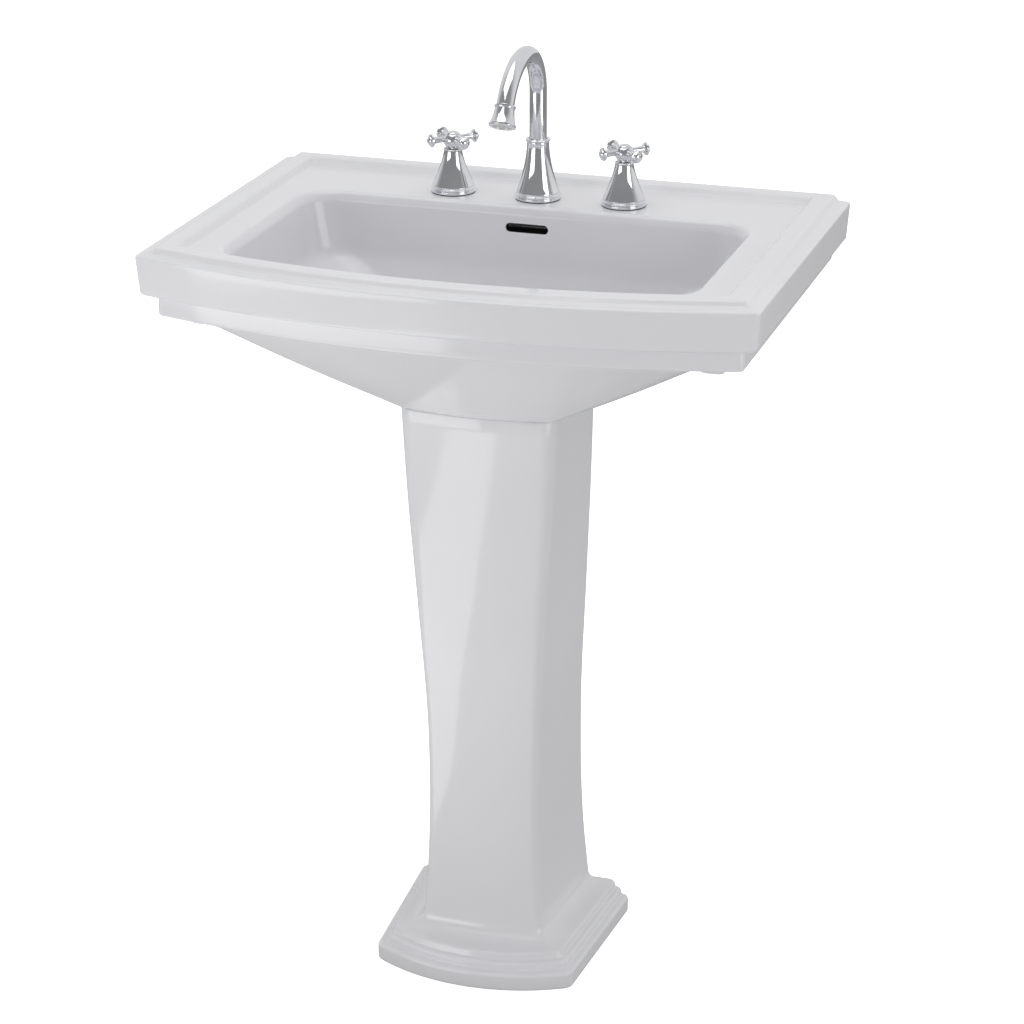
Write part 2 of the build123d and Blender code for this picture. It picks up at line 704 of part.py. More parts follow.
# ---------------------------------------------------------------- lift rod linkage
KNOB_GAP = 2.5
KNOB_R = LIFT_OFFSET - SPOUT_TOP_R - KNOB_GAP
KNOB_BASE_H = 37.0
KNOB_H = 15.0
LIFT_ROD_END = BALL_Z + 62.0

with BuildPart() as lift_rod:
    with BuildSketch(Plane.XY.offset(LIFT_ROD_END)):
        with Locations((0, LIFT_Y)):
            Circle(LIFT_ROD_R)
    extrude(amount=DECK_Z + KNOB_BASE_H + 6.0 - LIFT_ROD_END)
lift_rod.part.label = "lift_rod"
export_step(lift_rod.part, "parts/lift_rod.step")

with BuildPart() as lift_knob:
    with BuildSketch(upright(0, LIFT_Y, DECK_Z + KNOB_BASE_H)):
        with BuildLine():
            Polyline(
                (0, KNOB_H),
                (0, 6.0),
                (LIFT_ROD_R + FIT, 6.0),
                (LIFT_ROD_R + FIT, 0),
                (3.6, 0),
                (3.2, 4.0),
            )
            Spline((3.2, 4.0), (KNOB_R, 9.5), (4.6, 13.6), (0, KNOB_H))
        make_face()
    revolve(axis=plumb(0, LIFT_Y))
lift_knob.part.label = "lift_knob"
export_step(lift_knob.part, "parts/lift_knob.step")

CLEVIS_H = 14.0
CLEVIS_Z = LIFT_ROD_END + 8.0
STRAP_TOP = CLEVIS_Z + CLEVIS_H
STRAP_END = BALL_Z - 14.0
STRAP_HOLE_R = 3.4
STRAP_HOLE_PITCH = 10.0
CLEVIS_FRONT = LIFT_Y - 6.0
SCREW_R = 2.5

with BuildPart() as clevis_strap:
    with BuildSketch(upright(0, STRAP_Y, (STRAP_TOP + STRAP_END) / 2)):
        Rectangle(STRAP_W, STRAP_TOP - STRAP_END)
    extrude(amount=-STRAP_T)
    with BuildSketch(upright(0, CLEVIS_FRONT, CLEVIS_Z + CLEVIS_H / 2)):
        Rectangle(STRAP_W, CLEVIS_H)
    extrude(amount=-(STRAP_Y - CLEVIS_FRONT))
    with BuildSketch(Plane.XY.offset(CLEVIS_Z)):
        with Locations((0, LIFT_Y)):
            Circle(LIFT_ROD_R + FIT)
    extrude(amount=CLEVIS_H, mode=Mode.SUBTRACT)
    with BuildSketch(upright(0, CLEVIS_FRONT, CLEVIS_Z + CLEVIS_H / 2)):
        Circle(SCREW_R + FIT)
    extrude(amount=-(LIFT_Y - CLEVIS_FRONT), mode=Mode.SUBTRACT)
    with BuildSketch(upright(0, STRAP_Y, BALL_Z)):
        with Locations(*[(0, i * STRAP_HOLE_PITCH) for i in range(5)]):
            Circle(STRAP_HOLE_R)
    extrude(amount=-STRAP_T, mode=Mode.SUBTRACT)
clevis_strap.part.label = "clevis_strap"
export_step(clevis_strap.part, "parts/clevis_strap.step")

THUMB_R = 6.5
THUMB_T = 4.0
THUMB_STANDOFF = 3.0
SCREW_TIP_Y = LIFT_Y - LIFT_ROD_R - FIT
THUMB_Y = CLEVIS_FRONT - THUMB_STANDOFF
with BuildPart() as clevis_screw:
    with BuildSketch(upright(0, SCREW_TIP_Y, CLEVIS_Z + CLEVIS_H / 2)):
        Circle(SCREW_R)
    extrude(amount=SCREW_TIP_Y - THUMB_Y)
    with BuildSketch(upright(0, THUMB_Y, CLEVIS_Z + CLEVIS_H / 2)):
        RegularPolygon(THUMB_R, 12)
    extrude(amount=THUMB_T)
clevis_screw.part.label = "clevis_screw"
export_step(clevis_screw.part, "parts/clevis_screw.step")

# A strip bent round the strap's edge, one leg each side, with the pivot rod through both.
CLIP_T = 0.6
CLIP_GAP = 1.2
CLIP_H = 9.0
CLIP_END_X = -5.0
CLIP_BACK_X = STRAP_W / 2 + 0.4
near_leg = STRAP_Y - CLIP_GAP - CLIP_T
far_leg = STRAP_Y + STRAP_T + CLIP_GAP
with BuildPart() as spring_clip:
    with BuildSketch(Plane.XY.offset(BALL_Z - CLIP_H / 2)):
        with BuildLine():
            Polyline(
                (CLIP_END_X, near_leg),
                (CLIP_BACK_X + CLIP_T, near_leg),
                (CLIP_BACK_X + CLIP_T, far_leg + CLIP_T),
                (CLIP_END_X, far_leg + CLIP_T),
                (CLIP_END_X, far_leg),
                (CLIP_BACK_X, far_leg),
                (CLIP_BACK_X, near_leg + CLIP_T),
                (CLIP_END_X, near_leg + CLIP_T),
                close=True,
            )
        make_face()
    extrude(amount=CLIP_H)
    with BuildSketch(upright(0, near_leg, BALL_Z)):
        Circle(STRAP_HOLE_R)
    extrude(amount=-(far_leg + CLIP_T - near_leg), mode=Mode.SUBTRACT)
spring_clip.part.label = "spring_clip"
export_step(spring_clip.part, "parts/spring_clip.step")

# ---------------------------------------------------------------- waste
TAIL_TOP = BODY_END + TAIL_INSERT
TAIL_END = OUTLET_Z - 32.0
BEND_Z = OUTLET_Z - 76.0
JOINT_TOP = TAIL_END + 16.0
ARM_Y = DRAIN_Y + 2 * TRAP_BEND_R
ARM_BEND_R = 36.0
ARM_START_Z = BEND_Z + 14.0
ARM_JOINT_TOP = BEND_Z + 26.0
BEND_TUBE_R = PIPE_R + 2.2
SLIP_WASHER_H = 5.0
NUT_LIP = 2.5
SHOULDER_R = 22.0
SHOULDER_H = 14.0

with BuildPart() as tailpiece:
    with BuildSketch(Plane.XY.offset(TAIL_END)):
        with Locations((0, DRAIN_Y)):
            Circle(PIPE_R)
            Circle(PIPE_R - PIPE_T, mode=Mode.SUBTRACT)
    extrude(amount=TAIL_TOP - TAIL_END)
tailpiece.part.label = "tailpiece"
export_step(tailpiece.part, "parts/tailpiece.step")

# The J bend takes the tailpiece in its front leg and the trap arm in its back leg.
with BuildPart() as trap_bend:
    with BuildLine():
        Line((0, DRAIN_Y, JOINT_TOP), (0, DRAIN_Y, BEND_Z))
        ThreePointArc(
            (0, DRAIN_Y, BEND_Z),
            (0, DRAIN_Y + TRAP_BEND_R, BEND_Z - TRAP_BEND_R),
            (0, ARM_Y, BEND_Z),
        )
        Line((0, ARM_Y, BEND_Z), (0, ARM_Y, ARM_JOINT_TOP))
    with BuildSketch(Plane.XY.offset(JOINT_TOP)):
        with Locations((0, DRAIN_Y)):
            Circle(BEND_TUBE_R)
            Circle(PIPE_R + FIT, mode=Mode.SUBTRACT)
    sweep()
    for leg_y, leg_top in ((DRAIN_Y, JOINT_TOP), (ARM_Y, ARM_JOINT_TOP)):
        with BuildSketch(Plane.XY.offset(leg_top)):
            with Locations((0, leg_y)):
                Circle(SHOULDER_R)
                Circle(PIPE_R + FIT, mode=Mode.SUBTRACT)
        extrude(amount=-SHOULDER_H)
trap_bend.part.label = "trap_bend"
export_step(trap_bend.part, "parts/trap_bend.step")

with BuildPart() as trap_arm:
    with BuildLine():
        Line((0, ARM_Y, ARM_START_Z), (0, ARM_Y, OUTLET_Z - ARM_BEND_R))
        ThreePointArc(
            (0, ARM_Y, OUTLET_Z - ARM_BEND_R),
            (
                0,
                ARM_Y + ARM_BEND_R * (1 - math.cos(math.pi / 4)),
                OUTLET_Z - ARM_BEND_R * (1 - math.sin(math.pi / 4)),
            ),
            (0, ARM_Y + ARM_BEND_R, OUTLET_Z),
        )
        Line((0, ARM_Y + ARM_BEND_R, OUTLET_Z), (0, WALL_Y, OUTLET_Z))
    with BuildSketch(Plane.XY.offset(ARM_START_Z)):
        with Locations((0, ARM_Y)):
            Circle(PIPE_R)
            Circle(PIPE_R - PIPE_T, mode=Mode.SUBTRACT)
    sweep()
trap_arm.part.label = "trap_arm"
export_step(trap_arm.part, "parts/trap_arm.step")

with BuildPart() as trap_washers:
    for leg_y, leg_top in ((DRAIN_Y, JOINT_TOP), (ARM_Y, ARM_JOINT_TOP)):
        with BuildSketch(Plane.XY.offset(leg_top)):
            with Locations((0, leg_y)):
                Circle(SHOULDER_R - 1.0)
                Circle(PIPE_R + FIT, mode=Mode.SUBTRACT)
        extrude(amount=SLIP_WASHER_H)
trap_washers.part.label = "trap_washers"
export_step(trap_washers.part, "parts/trap_washers.step")

with BuildPart() as trap_nuts:
    for leg_y, leg_top in ((DRAIN_Y, JOINT_TOP), (ARM_Y, ARM_JOINT_TOP)):
        nut_top = leg_top + SLIP_WASHER_H + NUT_LIP
        with BuildSketch(Plane.XY.offset(nut_top)):
            with Locations((0, leg_y)):
                RegularPolygon(TRAP_NUT_R, 8)
                Circle(PIPE_R + SLIP, mode=Mode.SUBTRACT)
        extrude(amount=-TRAP_NUT_H)
        with BuildSketch(Plane.XY.offset(nut_top - NUT_LIP)):
            with Locations((0, leg_y)):
                Circle(SHOULDER_R + FIT)
        extrude(amount=-TRAP_NUT_H, mode=Mode.SUBTRACT)
trap_nuts.part.label = "trap_nuts"
export_step(trap_nuts.part, "parts/trap_nuts.step")

# ---------------------------------------------------------------- spout
SPOUT_X = 0.0
UNDER_DECK = -DECK_T
SHANK_TOP = 38.0
SHANK_FLANGE_R = 20.0
SHANK_FLANGE_T = 3.0
SOCKET_R = GOOSE_R + FIT
SOCKET_WALL = 2.6
SOCKET_FLOOR = 12.0
GROOVE_DEPTH = 0.9
GROOVE_H = 2.0
GROOVE_LEVELS = (20.0, 28.0)
spout_plane = upright(SPOUT_X, FAUCET_Y, DECK_Z)
spout_axis = plumb(SPOUT_X, FAUCET_Y)


def spout_ring(bottom_z, radius, thickness):
    """Flat ring round the spout's shank, with a hole for the lift rod."""
    with BuildPart() as ring:
        with BuildSketch(Plane.XY.offset(bottom_z)):
            with Locations((SPOUT_X, FAUCET_Y)):
                Circle(radius)
                Circle(SHANK_R + SLIP, mode=Mode.SUBTRACT)
            with Locations((SPOUT_X, LIFT_Y)):
                Circle(LIFT_HOLE_R, mode=Mode.SUBTRACT)
        extrude(amount=thickness)
    return ring


def valve_rings(bottom_z, radius, thickness):
    """Pair of flat rings, one round each valve's shank."""
    with BuildPart() as rings:
        with BuildSketch(Plane.XY.offset(bottom_z)):
            with Locations((-FAUCET_SPREAD / 2, FAUCET_Y), (FAUCET_SPREAD / 2, FAUCET_Y)):
                Circle(radius)
                Circle(SHANK_R + SLIP, mode=Mode.SUBTRACT)
        extrude(amount=thickness)
    return rings


WASHER_Z = DECK_Z + UNDER_DECK - WASHER_T
save(spout_ring(DECK_Z, SPOUT_BASE_R - 0.6, GASKET_T), "spout_gasket")
save(spout_ring(WASHER_Z, WASHER_R + 1.4, WASHER_T), "spout_washer")
save(valve_rings(DECK_Z, BASE_R - 0.6, GASKET_T), "valve_gaskets")
save(valve_rings(WASHER_Z, WASHER_R, WASHER_T), "valve_washers")

with BuildPart() as spout_bell:
    with BuildSketch(spout_plane):
        with BuildLine():
            Polyline(
                (GOOSE_R + 0.9, SPOUT_BELL_H),
                (GOOSE_R + 0.9, SPOUT_BELL_H - 4.0),
                (SOCKET_R + SOCKET_WALL + SLIP, SHANK_TOP + 6.0),
                (SOCKET_R + SOCKET_WALL + SLIP, 26.0),
                (SHANK_FLANGE_R + SLIP, 8.0),
                (SHANK_FLANGE_R + SLIP, GASKET_T),
                (SPOUT_BASE_R, GASKET_T),
                (SPOUT_BASE_R, 3.4),
                (SPOUT_BASE_R - 1.2, 3.9),
                (SPOUT_BASE_R - 0.4, 4.8),
                (SPOUT_BASE_R - 0.4, 6.4),
                (SPOUT_BASE_R - 2.0, 7.2),
                (SPOUT_BASE_R - 1.6, 9.2),
            )
            Spline(
                (SPOUT_BASE_R - 1.6, 9.2),
                (SPOUT_TOP_R + 5.5, 30.0),
                (SPOUT_TOP_R + 1.1, 50.0),
                (SPOUT_TOP_R, SPOUT_BELL_H),
                tangents=((-0.4, 1.0), (-0.03, 1.0)),
            )
            Line((SPOUT_TOP_R, SPOUT_BELL_H), (GOOSE_R + 0.9, SPOUT_BELL_H))
        make_face()
    revolve(axis=spout_axis)
    with BuildSketch(Plane.XY.offset(DECK_Z + GASKET_T)):
        with Locations((SPOUT_X, LIFT_Y)):
            Circle(LIFT_HOLE_R)
    extrude(amount=SHANK_TOP, mode=Mode.SUBTRACT)
save(spout_bell, "spout_bell")

with BuildPart() as spout_collar:
    with BuildSketch(upright(SPOUT_X, FAUCET_Y, DECK_Z + SPOUT_BELL_H)):
        with BuildLine():
            Polyline(
                (GOOSE_R + 0.6, 0),
                (COLLAR_R - 1.2, 0),
                (COLLAR_R, 0.9),
                (COLLAR_R, COLLAR_H - 0.9),
                (COLLAR_R - 1.2, COLLAR_H),
                (GOOSE_R + 0.6, COLLAR_H),
                close=True,
            )
        make_face()
    revolve(axis=spout_axis)
save(spout_collar, "spout_collar")

# The shank clamps the spout to the deck. Its socket carries the gooseneck.
with BuildPart() as spout_shank:
    with BuildSketch(spout_plane):
        with BuildLine():
            Polyline(
                (4.0, -SHANK_DROP),
                (SHANK_R, -SHANK_DROP),
                (SHANK_R, GASKET_T),
                (SHANK_FLANGE_R, GASKET_T),
                (SHANK_FLANGE_R, GASKET_T + SHANK_FLANGE_T),
                (SOCKET_R + SOCKET_WALL, GASKET_T + SHANK_FLANGE_T + 3.0),
                (SOCKET_R + SOCKET_WALL, SHANK_TOP),
                (SOCKET_R, SHANK_TOP),
                (SOCKET_R, SOCKET_FLOOR),
                (4.0, SOCKET_FLOOR),
                close=True,
            )
        make_face()
    revolve(axis=spout_axis)
    with BuildSketch(Plane.XY.offset(DECK_Z)):
        with Locations((SPOUT_X, LIFT_Y)):
            Circle(LIFT_HOLE_R)
    extrude(amount=SHANK_TOP, mode=Mode.SUBTRACT)
save(spout_shank, "spout_shank")

arc_centre_z = DECK_Z + GOOSE_RISE
sweep_end = math.radians(GOOSE_SWEEP)
goose_top = (SPOUT_X, FAUCET_Y, arc_centre_z)
crest_y = FAUCET_Y - GOOSE_BEND_R
crest_z = arc_centre_z + GOOSE_BEND_R
rise_mid = (
    SPOUT_X,
    crest_y + GOOSE_BEND_R * math.cos(math.pi / 4),
    arc_centre_z + GOOSE_BEND_R * math.sin(math.pi / 4),
)


def drop_point(angle):
    """Point on the spout's wide falling bend, at an angle past its crest."""
    return (
        SPOUT_X,
        crest_y - GOOSE_DROP_R * math.sin(angle),
        crest_z - GOOSE_DROP_R * (1 - math.cos(angle)),
    )


drop_end = sweep_end - math.pi / 2
goose_end = drop_point(drop_end)
outlet_dir = (0, -math.sin(sweep_end), math.cos(sweep_end))
GOOSE_FOOT = SOCKET_FLOOR + 2.0
NOZZLE_SPIGOT = 8.0
outlet_plane = Plane(origin=goose_end, x_dir=(1, 0, 0), z_dir=outlet_dir)

with BuildPart() as gooseneck:
    with BuildLine():
        Line((SPOUT_X, FAUCET_Y, DECK_Z + GOOSE_FOOT), goose_top)
        ThreePointArc(goose_top, rise_mid, drop_point(0))
        ThreePointArc(drop_point(0), drop_point(drop_end / 2), goose_end)
    with BuildSketch(Plane.XY.offset(DECK_Z + GOOSE_FOOT)):
        with Locations((SPOUT_X, FAUCET_Y)):
            Circle(GOOSE_R)
            Circle(GOOSE_BORE_R, mode=Mode.SUBTRACT)
    sweep()
    with BuildSketch(outlet_plane):
        Circle(GOOSE_R)
        Circle(GOOSE_BORE_R, mode=Mode.SUBTRACT)
    extrude(amount=NOZZLE_SPIGOT)
    for level in GROOVE_LEVELS:
        with BuildSketch(Plane.XY.offset(DECK_Z + level)):
            with Locations((SPOUT_X, FAUCET_Y)):
                Circle(GOOSE_R + 1.0)
                Circle(GOOSE_R - GROOVE_DEPTH, mode=Mode.SUBTRACT)
        extrude(amount=GROOVE_H, mode=Mode.SUBTRACT)
save(gooseneck, "gooseneck")

with BuildPart() as spout_o_rings:
    for level in GROOVE_LEVELS:
        with BuildSketch(Plane.XY.offset(DECK_Z + level + 0.1)):
            with Locations((SPOUT_X, FAUCET_Y)):
                Circle(GOOSE_R)
                Circle(GOOSE_R - GROOVE_DEPTH + 0.02, mode=Mode.SUBTRACT)
        extrude(amount=GROOVE_H - 0.2)
save(spout_o_rings, "spout_o_rings")

# Aerator housing, turned on the outlet's own axis.
outlet_upright = Plane(
    origin=goose_end,
    x_dir=(1, 0, 0),
    z_dir=(0, -math.cos(sweep_end), -math.sin(sweep_end)),
)
outlet_axis = Axis(goose_end, outlet_dir)
INSERT_R = 9.6
INSERT_H = 10.0
with BuildPart() as aerator_housing:
    with BuildSketch(outlet_upright):
        with BuildLine():
            Polyline(
                (GOOSE_R + FIT, 0),
                (GOOSE_R + 1.9, 0),
                (GOOSE_R + 1.9, 2.6),
                (GOOSE_R + 0.9, 3.4),
                (AERATOR_R, AERATOR_LEN - 10.0),
                (AERATOR_LIP_R - 0.8, AERATOR_LEN - 3.4),
                (AERATOR_LIP_R, AERATOR_LEN - 2.4),
                (AERATOR_LIP_R, AERATOR_LEN - 0.6),
                (AERATOR_LIP_R - 0.6, AERATOR_LEN),
                (INSERT_R + FIT, AERATOR_LEN),
                (INSERT_R + FIT, AERATOR_LEN - INSERT_H),
                (INSERT_R - 1.2, AERATOR_LEN - INSERT_H),
                (INSERT_R - 1.2, NOZZLE_SPIGOT),
                (GOOSE_R + FIT, NOZZLE_SPIGOT),
                close=True,
            )
        make_face()
    revolve(axis=outlet_axis)
save(aerator_housing, "aerator_housing")

MESH_HOLE_R = 0.9
with BuildPart() as aerator_insert:
    with BuildSketch(outlet_plane.offset(AERATOR_LEN - INSERT_H)):
        Circle(INSERT_R)
        with PolarLocations(5.6, 10):
            Circle(MESH_HOLE_R, mode=Mode.SUBTRACT)
        with PolarLocations(2.6, 5):
            Circle(MESH_HOLE_R, mode=Mode.SUBTRACT)
    extrude(amount=INSERT_H - 1.0)
save(aerator_insert, "aerator_insert")

# three locknuts under the deck, one on each threaded shank
HANDLE_X = FAUCET_SPREAD / 2
with BuildPart() as deck_locknuts:
    with BuildSketch(Plane.XY.offset(WASHER_Z)):
        with Locations((-HANDLE_X, FAUCET_Y), (SPOUT_X, FAUCET_Y), (HANDLE_X, FAUCET_Y)):
            RegularPolygon(NUT_R, 6)
            Circle(SHANK_R + FIT, mode=Mode.SUBTRACT)
    extrude(amount=-NUT_H)
save(deck_locknuts, "deck_locknuts")

# ---------------------------------------------------------------- supply to the spout
TEE_R = 13.0
TEE_ARM = 22.0
TEE_ARM_R = 8.0
TEE_BELOW = 12.0
TEE_TOP = -SHANK_DROP + 20.0
CROSS_Z = DECK_Z - SHANK_DROP - 4.0
PORT_INSERT = 8.0
VALVE_R = 10.5
VALVE_PORT_REACH = 20.0
FERRULE_NUT_R = 10.5
FERRULE_NUT_L = 11.0

with BuildPart() as spout_tee:
    with BuildSketch(Plane.XY.offset(CROSS_Z - TEE_BELOW)):
        with Locations((SPOUT_X, FAUCET_Y)):
            Circle(TEE_R)
    extrude(amount=DECK_Z + TEE_TOP - CROSS_Z + TEE_BELOW)
    with BuildSketch(Plane.YZ.offset(SPOUT_X)):
        with Locations((FAUCET_Y, CROSS_Z)):
            Circle(TEE_ARM_R)
    extrude(amount=TEE_ARM, both=True)
    with BuildSketch(Plane.XY.offset(DECK_Z - SHANK_DROP)):
        with Locations((SPOUT_X, FAUCET_Y)):
            Circle(SHANK_R + FIT)
    extrude(amount=SHANK_DROP, mode=Mode.SUBTRACT)
    with BuildSketch(Plane.YZ.offset(SPOUT_X)):
        with Locations((FAUCET_Y, CROSS_Z)):
            Circle(CROSSOVER_R + FIT)
    extrude(amount=TEE_ARM, both=True, mode=Mode.SUBTRACT)
    with BuildSketch(Plane.XY.offset(CROSS_Z)):
        with Locations((SPOUT_X, FAUCET_Y)):
            Circle(CROSSOVER_R)
    extrude(amount=SHANK_DROP, mode=Mode.SUBTRACT)
save(spout_tee, "spout_tee")

with BuildPart() as compression_nuts:
    for side in (-1, 1):
        for inner_end in (TEE_ARM, FAUCET_SPREAD / 2 - VALVE_PORT_REACH - FERRULE_NUT_L):
            start = side * inner_end
            with BuildSketch(Plane.YZ.offset(start)):
                with Locations((FAUCET_Y, CROSS_Z)):
                    RegularPolygon(FERRULE_NUT_R, 6)
                    Circle(CROSSOVER_R + FIT, mode=Mode.SUBTRACT)
            extrude(amount=side * FERRULE_NUT_L)
save(compression_nuts, "compression_nuts")

# ---------------------------------------------------------------- valves and handles
VALVE_DROP = 95.0
VALVE_TOP = 30.0
CAGE_R = 8.2
CAGE_FLOOR = -10.0
WATERWAY_R = 5.0
STEM_BORE_R = STEM_R + FIT
STEM_FOOT = -4.0
DISC_T = 2.4
DISC_R = 6.6
RETAINER_H = 7.0
INLET_LEN = 18.0
HUB_FOOT = BELL_H + NECK_H + 0.6
HUB_BORE_DEPTH = 11.0
SOCKET_DEPTH = 2.8
BUTTON_H = 3.2
BUTTON_R = 7.2
BUTTON_PLUG = 0.9
SCREW_HEAD_R = 3.6
SCREW_HEAD_H = 2.4
SCREW_SHANK_R = 1.9
SCREW_LEN = 10.0
STEM_TOP = HUB_FOOT + HUB_BORE_DEPTH


def turned(x, points):
    """Solid of revolution about a handle's axis, from points of radius and height above the deck."""
    with BuildPart() as piece:
        with BuildSketch(upright(x, FAUCET_Y, DECK_Z)):
            with BuildLine():
                Polyline(*points, close=True)
            make_face()
        revolve(axis=plumb(x, FAUCET_Y))
    return piece


def valve_bell(x):
    """Flared cover that stands on the deck over one valve."""
    with BuildPart() as bell:
        with BuildSketch(upright(x, FAUCET_Y, DECK_Z)):
            with BuildLine():
                Polyline(
                    (STEM_R + 1.0, BELL_H),
                    (STEM_R + 1.0, BELL_H - 3.0),
                    (8.0, BELL_H - 6.0),
                    (VALVE_R + 2.0, VALVE_TOP + 2.0),
                    (SHANK_FLANGE_R + SLIP, 8.0),
                    (SHANK_FLANGE_R + SLIP, GASKET_T),
                    (BASE_R, GASKET_T),
                    (BASE_R, 3.2),
                    (BASE_R - 1.2, 3.7),
                    (BASE_R - 0.4, 4.6),
                    (BASE_R - 0.4, 6.2),
                    (BASE_R - 2.0, 7.0),
                    (BASE_R - 1.6, 8.8),
                )
                Spline(
                    (BASE_R - 1.6, 8.8),
                    (18.9, 20.5),
                    (11.9, 39.5),
                    (10.6, BELL_H),
                    tangents=((-0.45, 1.0), (-0.05, 1.0)),
                )
                Line((10.6, BELL_H), (STEM_R + 1.0, BELL_H))
            make_face()
        revolve(axis=plumb(x, FAUCET_Y))
    return bell


def valve_body(x, inward):
    """Brass valve: threaded shank, flange on the deck, cage for the cartridge, side port, inlet."""
    with BuildPart() as body:
        with BuildSketch(upright(x, FAUCET_Y, DECK_Z)):
            with BuildLine():
                Polyline(
                    (WATERWAY_R, -VALVE_DROP),
                    (INLET_R, -VALVE_DROP),
                    (INLET_R, -VALVE_DROP + INLET_LEN),
                    (TEE_R - 1.0, -VALVE_DROP + INLET_LEN),
                    (TEE_R - 1.0, -SHANK_DROP + 8.0),
                    (VALVE_R, -SHANK_DROP + 10.0),
                    (VALVE_R, GASKET_T),
                    (SHANK_FLANGE_R, GASKET_T),
                    (SHANK_FLANGE_R, GASKET_T + SHANK_FLANGE_T),
                    (VALVE_R + 1.0, GASKET_T + SHANK_FLANGE_T + 2.0),
                    (VALVE_R + 1.0, VALVE_TOP),
                    (CAGE_R, VALVE_TOP),
                    (CAGE_R, CAGE_FLOOR),
                    (WATERWAY_R, CAGE_FLOOR),
                    close=True,
                )
            make_face()
        revolve(axis=plumb(x, FAUCET_Y))
        with BuildSketch(Plane.YZ.offset(x)):
            with Locations((FAUCET_Y, CROSS_Z)):
                Circle(TEE_ARM_R)
        extrude(amount=inward * VALVE_PORT_REACH)
        with BuildSketch(Plane.XY.offset(DECK_Z - VALVE_DROP)):
            with Locations((x, FAUCET_Y)):
                Circle(WATERWAY_R)
        extrude(amount=VALVE_DROP, mode=Mode.SUBTRACT)
        with BuildSketch(Plane.YZ.offset(x)):
            with Locations((FAUCET_Y, CROSS_Z)):
                Circle(CROSSOVER_R + FIT)
        extrude(amount=inward * VALVE_PORT_REACH, mode=Mode.SUBTRACT)
    return body


def handle_hub(x):
    """Urn shaped hub with a bore for the stem, a screw recess and four arm sockets."""
    with BuildPart() as hub:
        with BuildSketch(upright(x, FAUCET_Y, DECK_Z)):
            with BuildLine():
                Polyline(
                    (SCREW_HEAD_R + 0.6, HUB_FOOT + HUB_H - BUTTON_H),
                    (SCREW_HEAD_R + 0.6, STEM_TOP + 1.6),
                    (SCREW_SHANK_R + 0.2, STEM_TOP + 1.6),
                    (SCREW_SHANK_R + 0.2, STEM_TOP + 0.1),
                    (STEM_BORE_R, STEM_TOP + 0.1),
                    (STEM_BORE_R, HUB_FOOT),
                    (7.4, HUB_FOOT),
                    (7.8, HUB_FOOT + 1.4),
                )
                Spline(
                    (7.8, HUB_FOOT + 1.4),
                    (HUB_R, ARM_LEVEL - 2.6),
                    (HUB_R, ARM_LEVEL + 2.6),
                    (8.0, HUB_FOOT + HUB_H - BUTTON_H),
                )
                Line(
                    (8.0, HUB_FOOT + HUB_H - BUTTON_H),
                    (SCREW_HEAD_R + 0.6, HUB_FOOT + HUB_H - BUTTON_H),
                )
            make_face()
        revolve(axis=plumb(x, FAUCET_Y))
        for turn in ARM_TURNS:
            with BuildSketch(arm_plane(x, turn, HUB_R - SOCKET_DEPTH)):
                Circle(ARM_ROOT_R + FIT)
            extrude(amount=SOCKET_DEPTH + 2.0, mode=Mode.SUBTRACT)
    return hub


ARM_TURNS = (45.0, 135.0, 225.0, 315.0)


def arm_plane(x, turn, reach):
    """Plane across an arm, reach out from the handle's axis."""
    out = (math.cos(math.radians(turn)), math.sin(math.radians(turn)), 0)
    origin = (x + reach * out[0], FAUCET_Y + reach * out[1], DECK_Z + ARM_LEVEL)
    return Plane(origin=origin, x_dir=(-out[1], out[0], 0), z_dir=out)


def handle_arms(x):
    """Four turned arms, each with a disc and a domed end."""
    with BuildPart() as arms:
        root = HUB_R - SOCKET_DEPTH + 0.1
        for turn in ARM_TURNS:
            plane = arm_plane(x, turn, 0)
            side_plane = Plane(origin=plane.origin, x_dir=plane.z_dir, z_dir=-plane.x_dir)
            with BuildSketch(side_plane):
                with BuildLine():
                    Polyline(
                        (ARM_TIP, 0),
                        (root, 0),
                        (root, ARM_ROOT_R),
                        (HUB_R + 2.0, ARM_ROOT_R),
                        (ARM_TIP - 8.0, 4.0),
                        (ARM_TIP - 6.2, ARM_DISC_R - 0.8),
                        (ARM_TIP - 5.6, ARM_DISC_R),
                        (ARM_TIP - 4.2, ARM_DISC_R),
                        (ARM_TIP - 3.6, ARM_DISC_R - 1.0),
                        (ARM_TIP - 3.4, 5.2),
                        (ARM_TIP - 1.8, 4.6),
                        (ARM_TIP - 0.5, 2.6),
                        close=True,
                    )
                make_face()
            revolve(axis=Axis(plane.origin, plane.z_dir))
    return arms


# rings between the bells and the turning hubs
with BuildPart() as neck_rings:
    for x in (-HANDLE_X, HANDLE_X):
        with BuildSketch(upright(x, FAUCET_Y, DECK_Z + BELL_H)):
            with BuildLine():
                Polyline(
                    (STEM_R + 1.0, 0),
                    (NECK_R - 0.9, 0),
                    (NECK_R, 0.8),
                    (NECK_R, NECK_H - 0.8),
                    (NECK_R - 0.9, NECK_H),
                    (STEM_R + 1.0, NECK_H),
                    close=True,
                )
            make_face()
        revolve(axis=plumb(x, FAUCET_Y))
save(neck_rings, "neck_rings")

# screwed collars that hold the cartridges down
with BuildPart() as cartridge_collars:
    with BuildSketch(Plane.XY.offset(DECK_Z + VALVE_TOP - RETAINER_H)):
        with Locations((-HANDLE_X, FAUCET_Y), (HANDLE_X, FAUCET_Y)):
            Circle(CAGE_R - FIT)
            Circle(STEM_R + 0.6, mode=Mode.SUBTRACT)
    extrude(amount=RETAINER_H + 1.6)
save(cartridge_collars, "cartridge_collars")

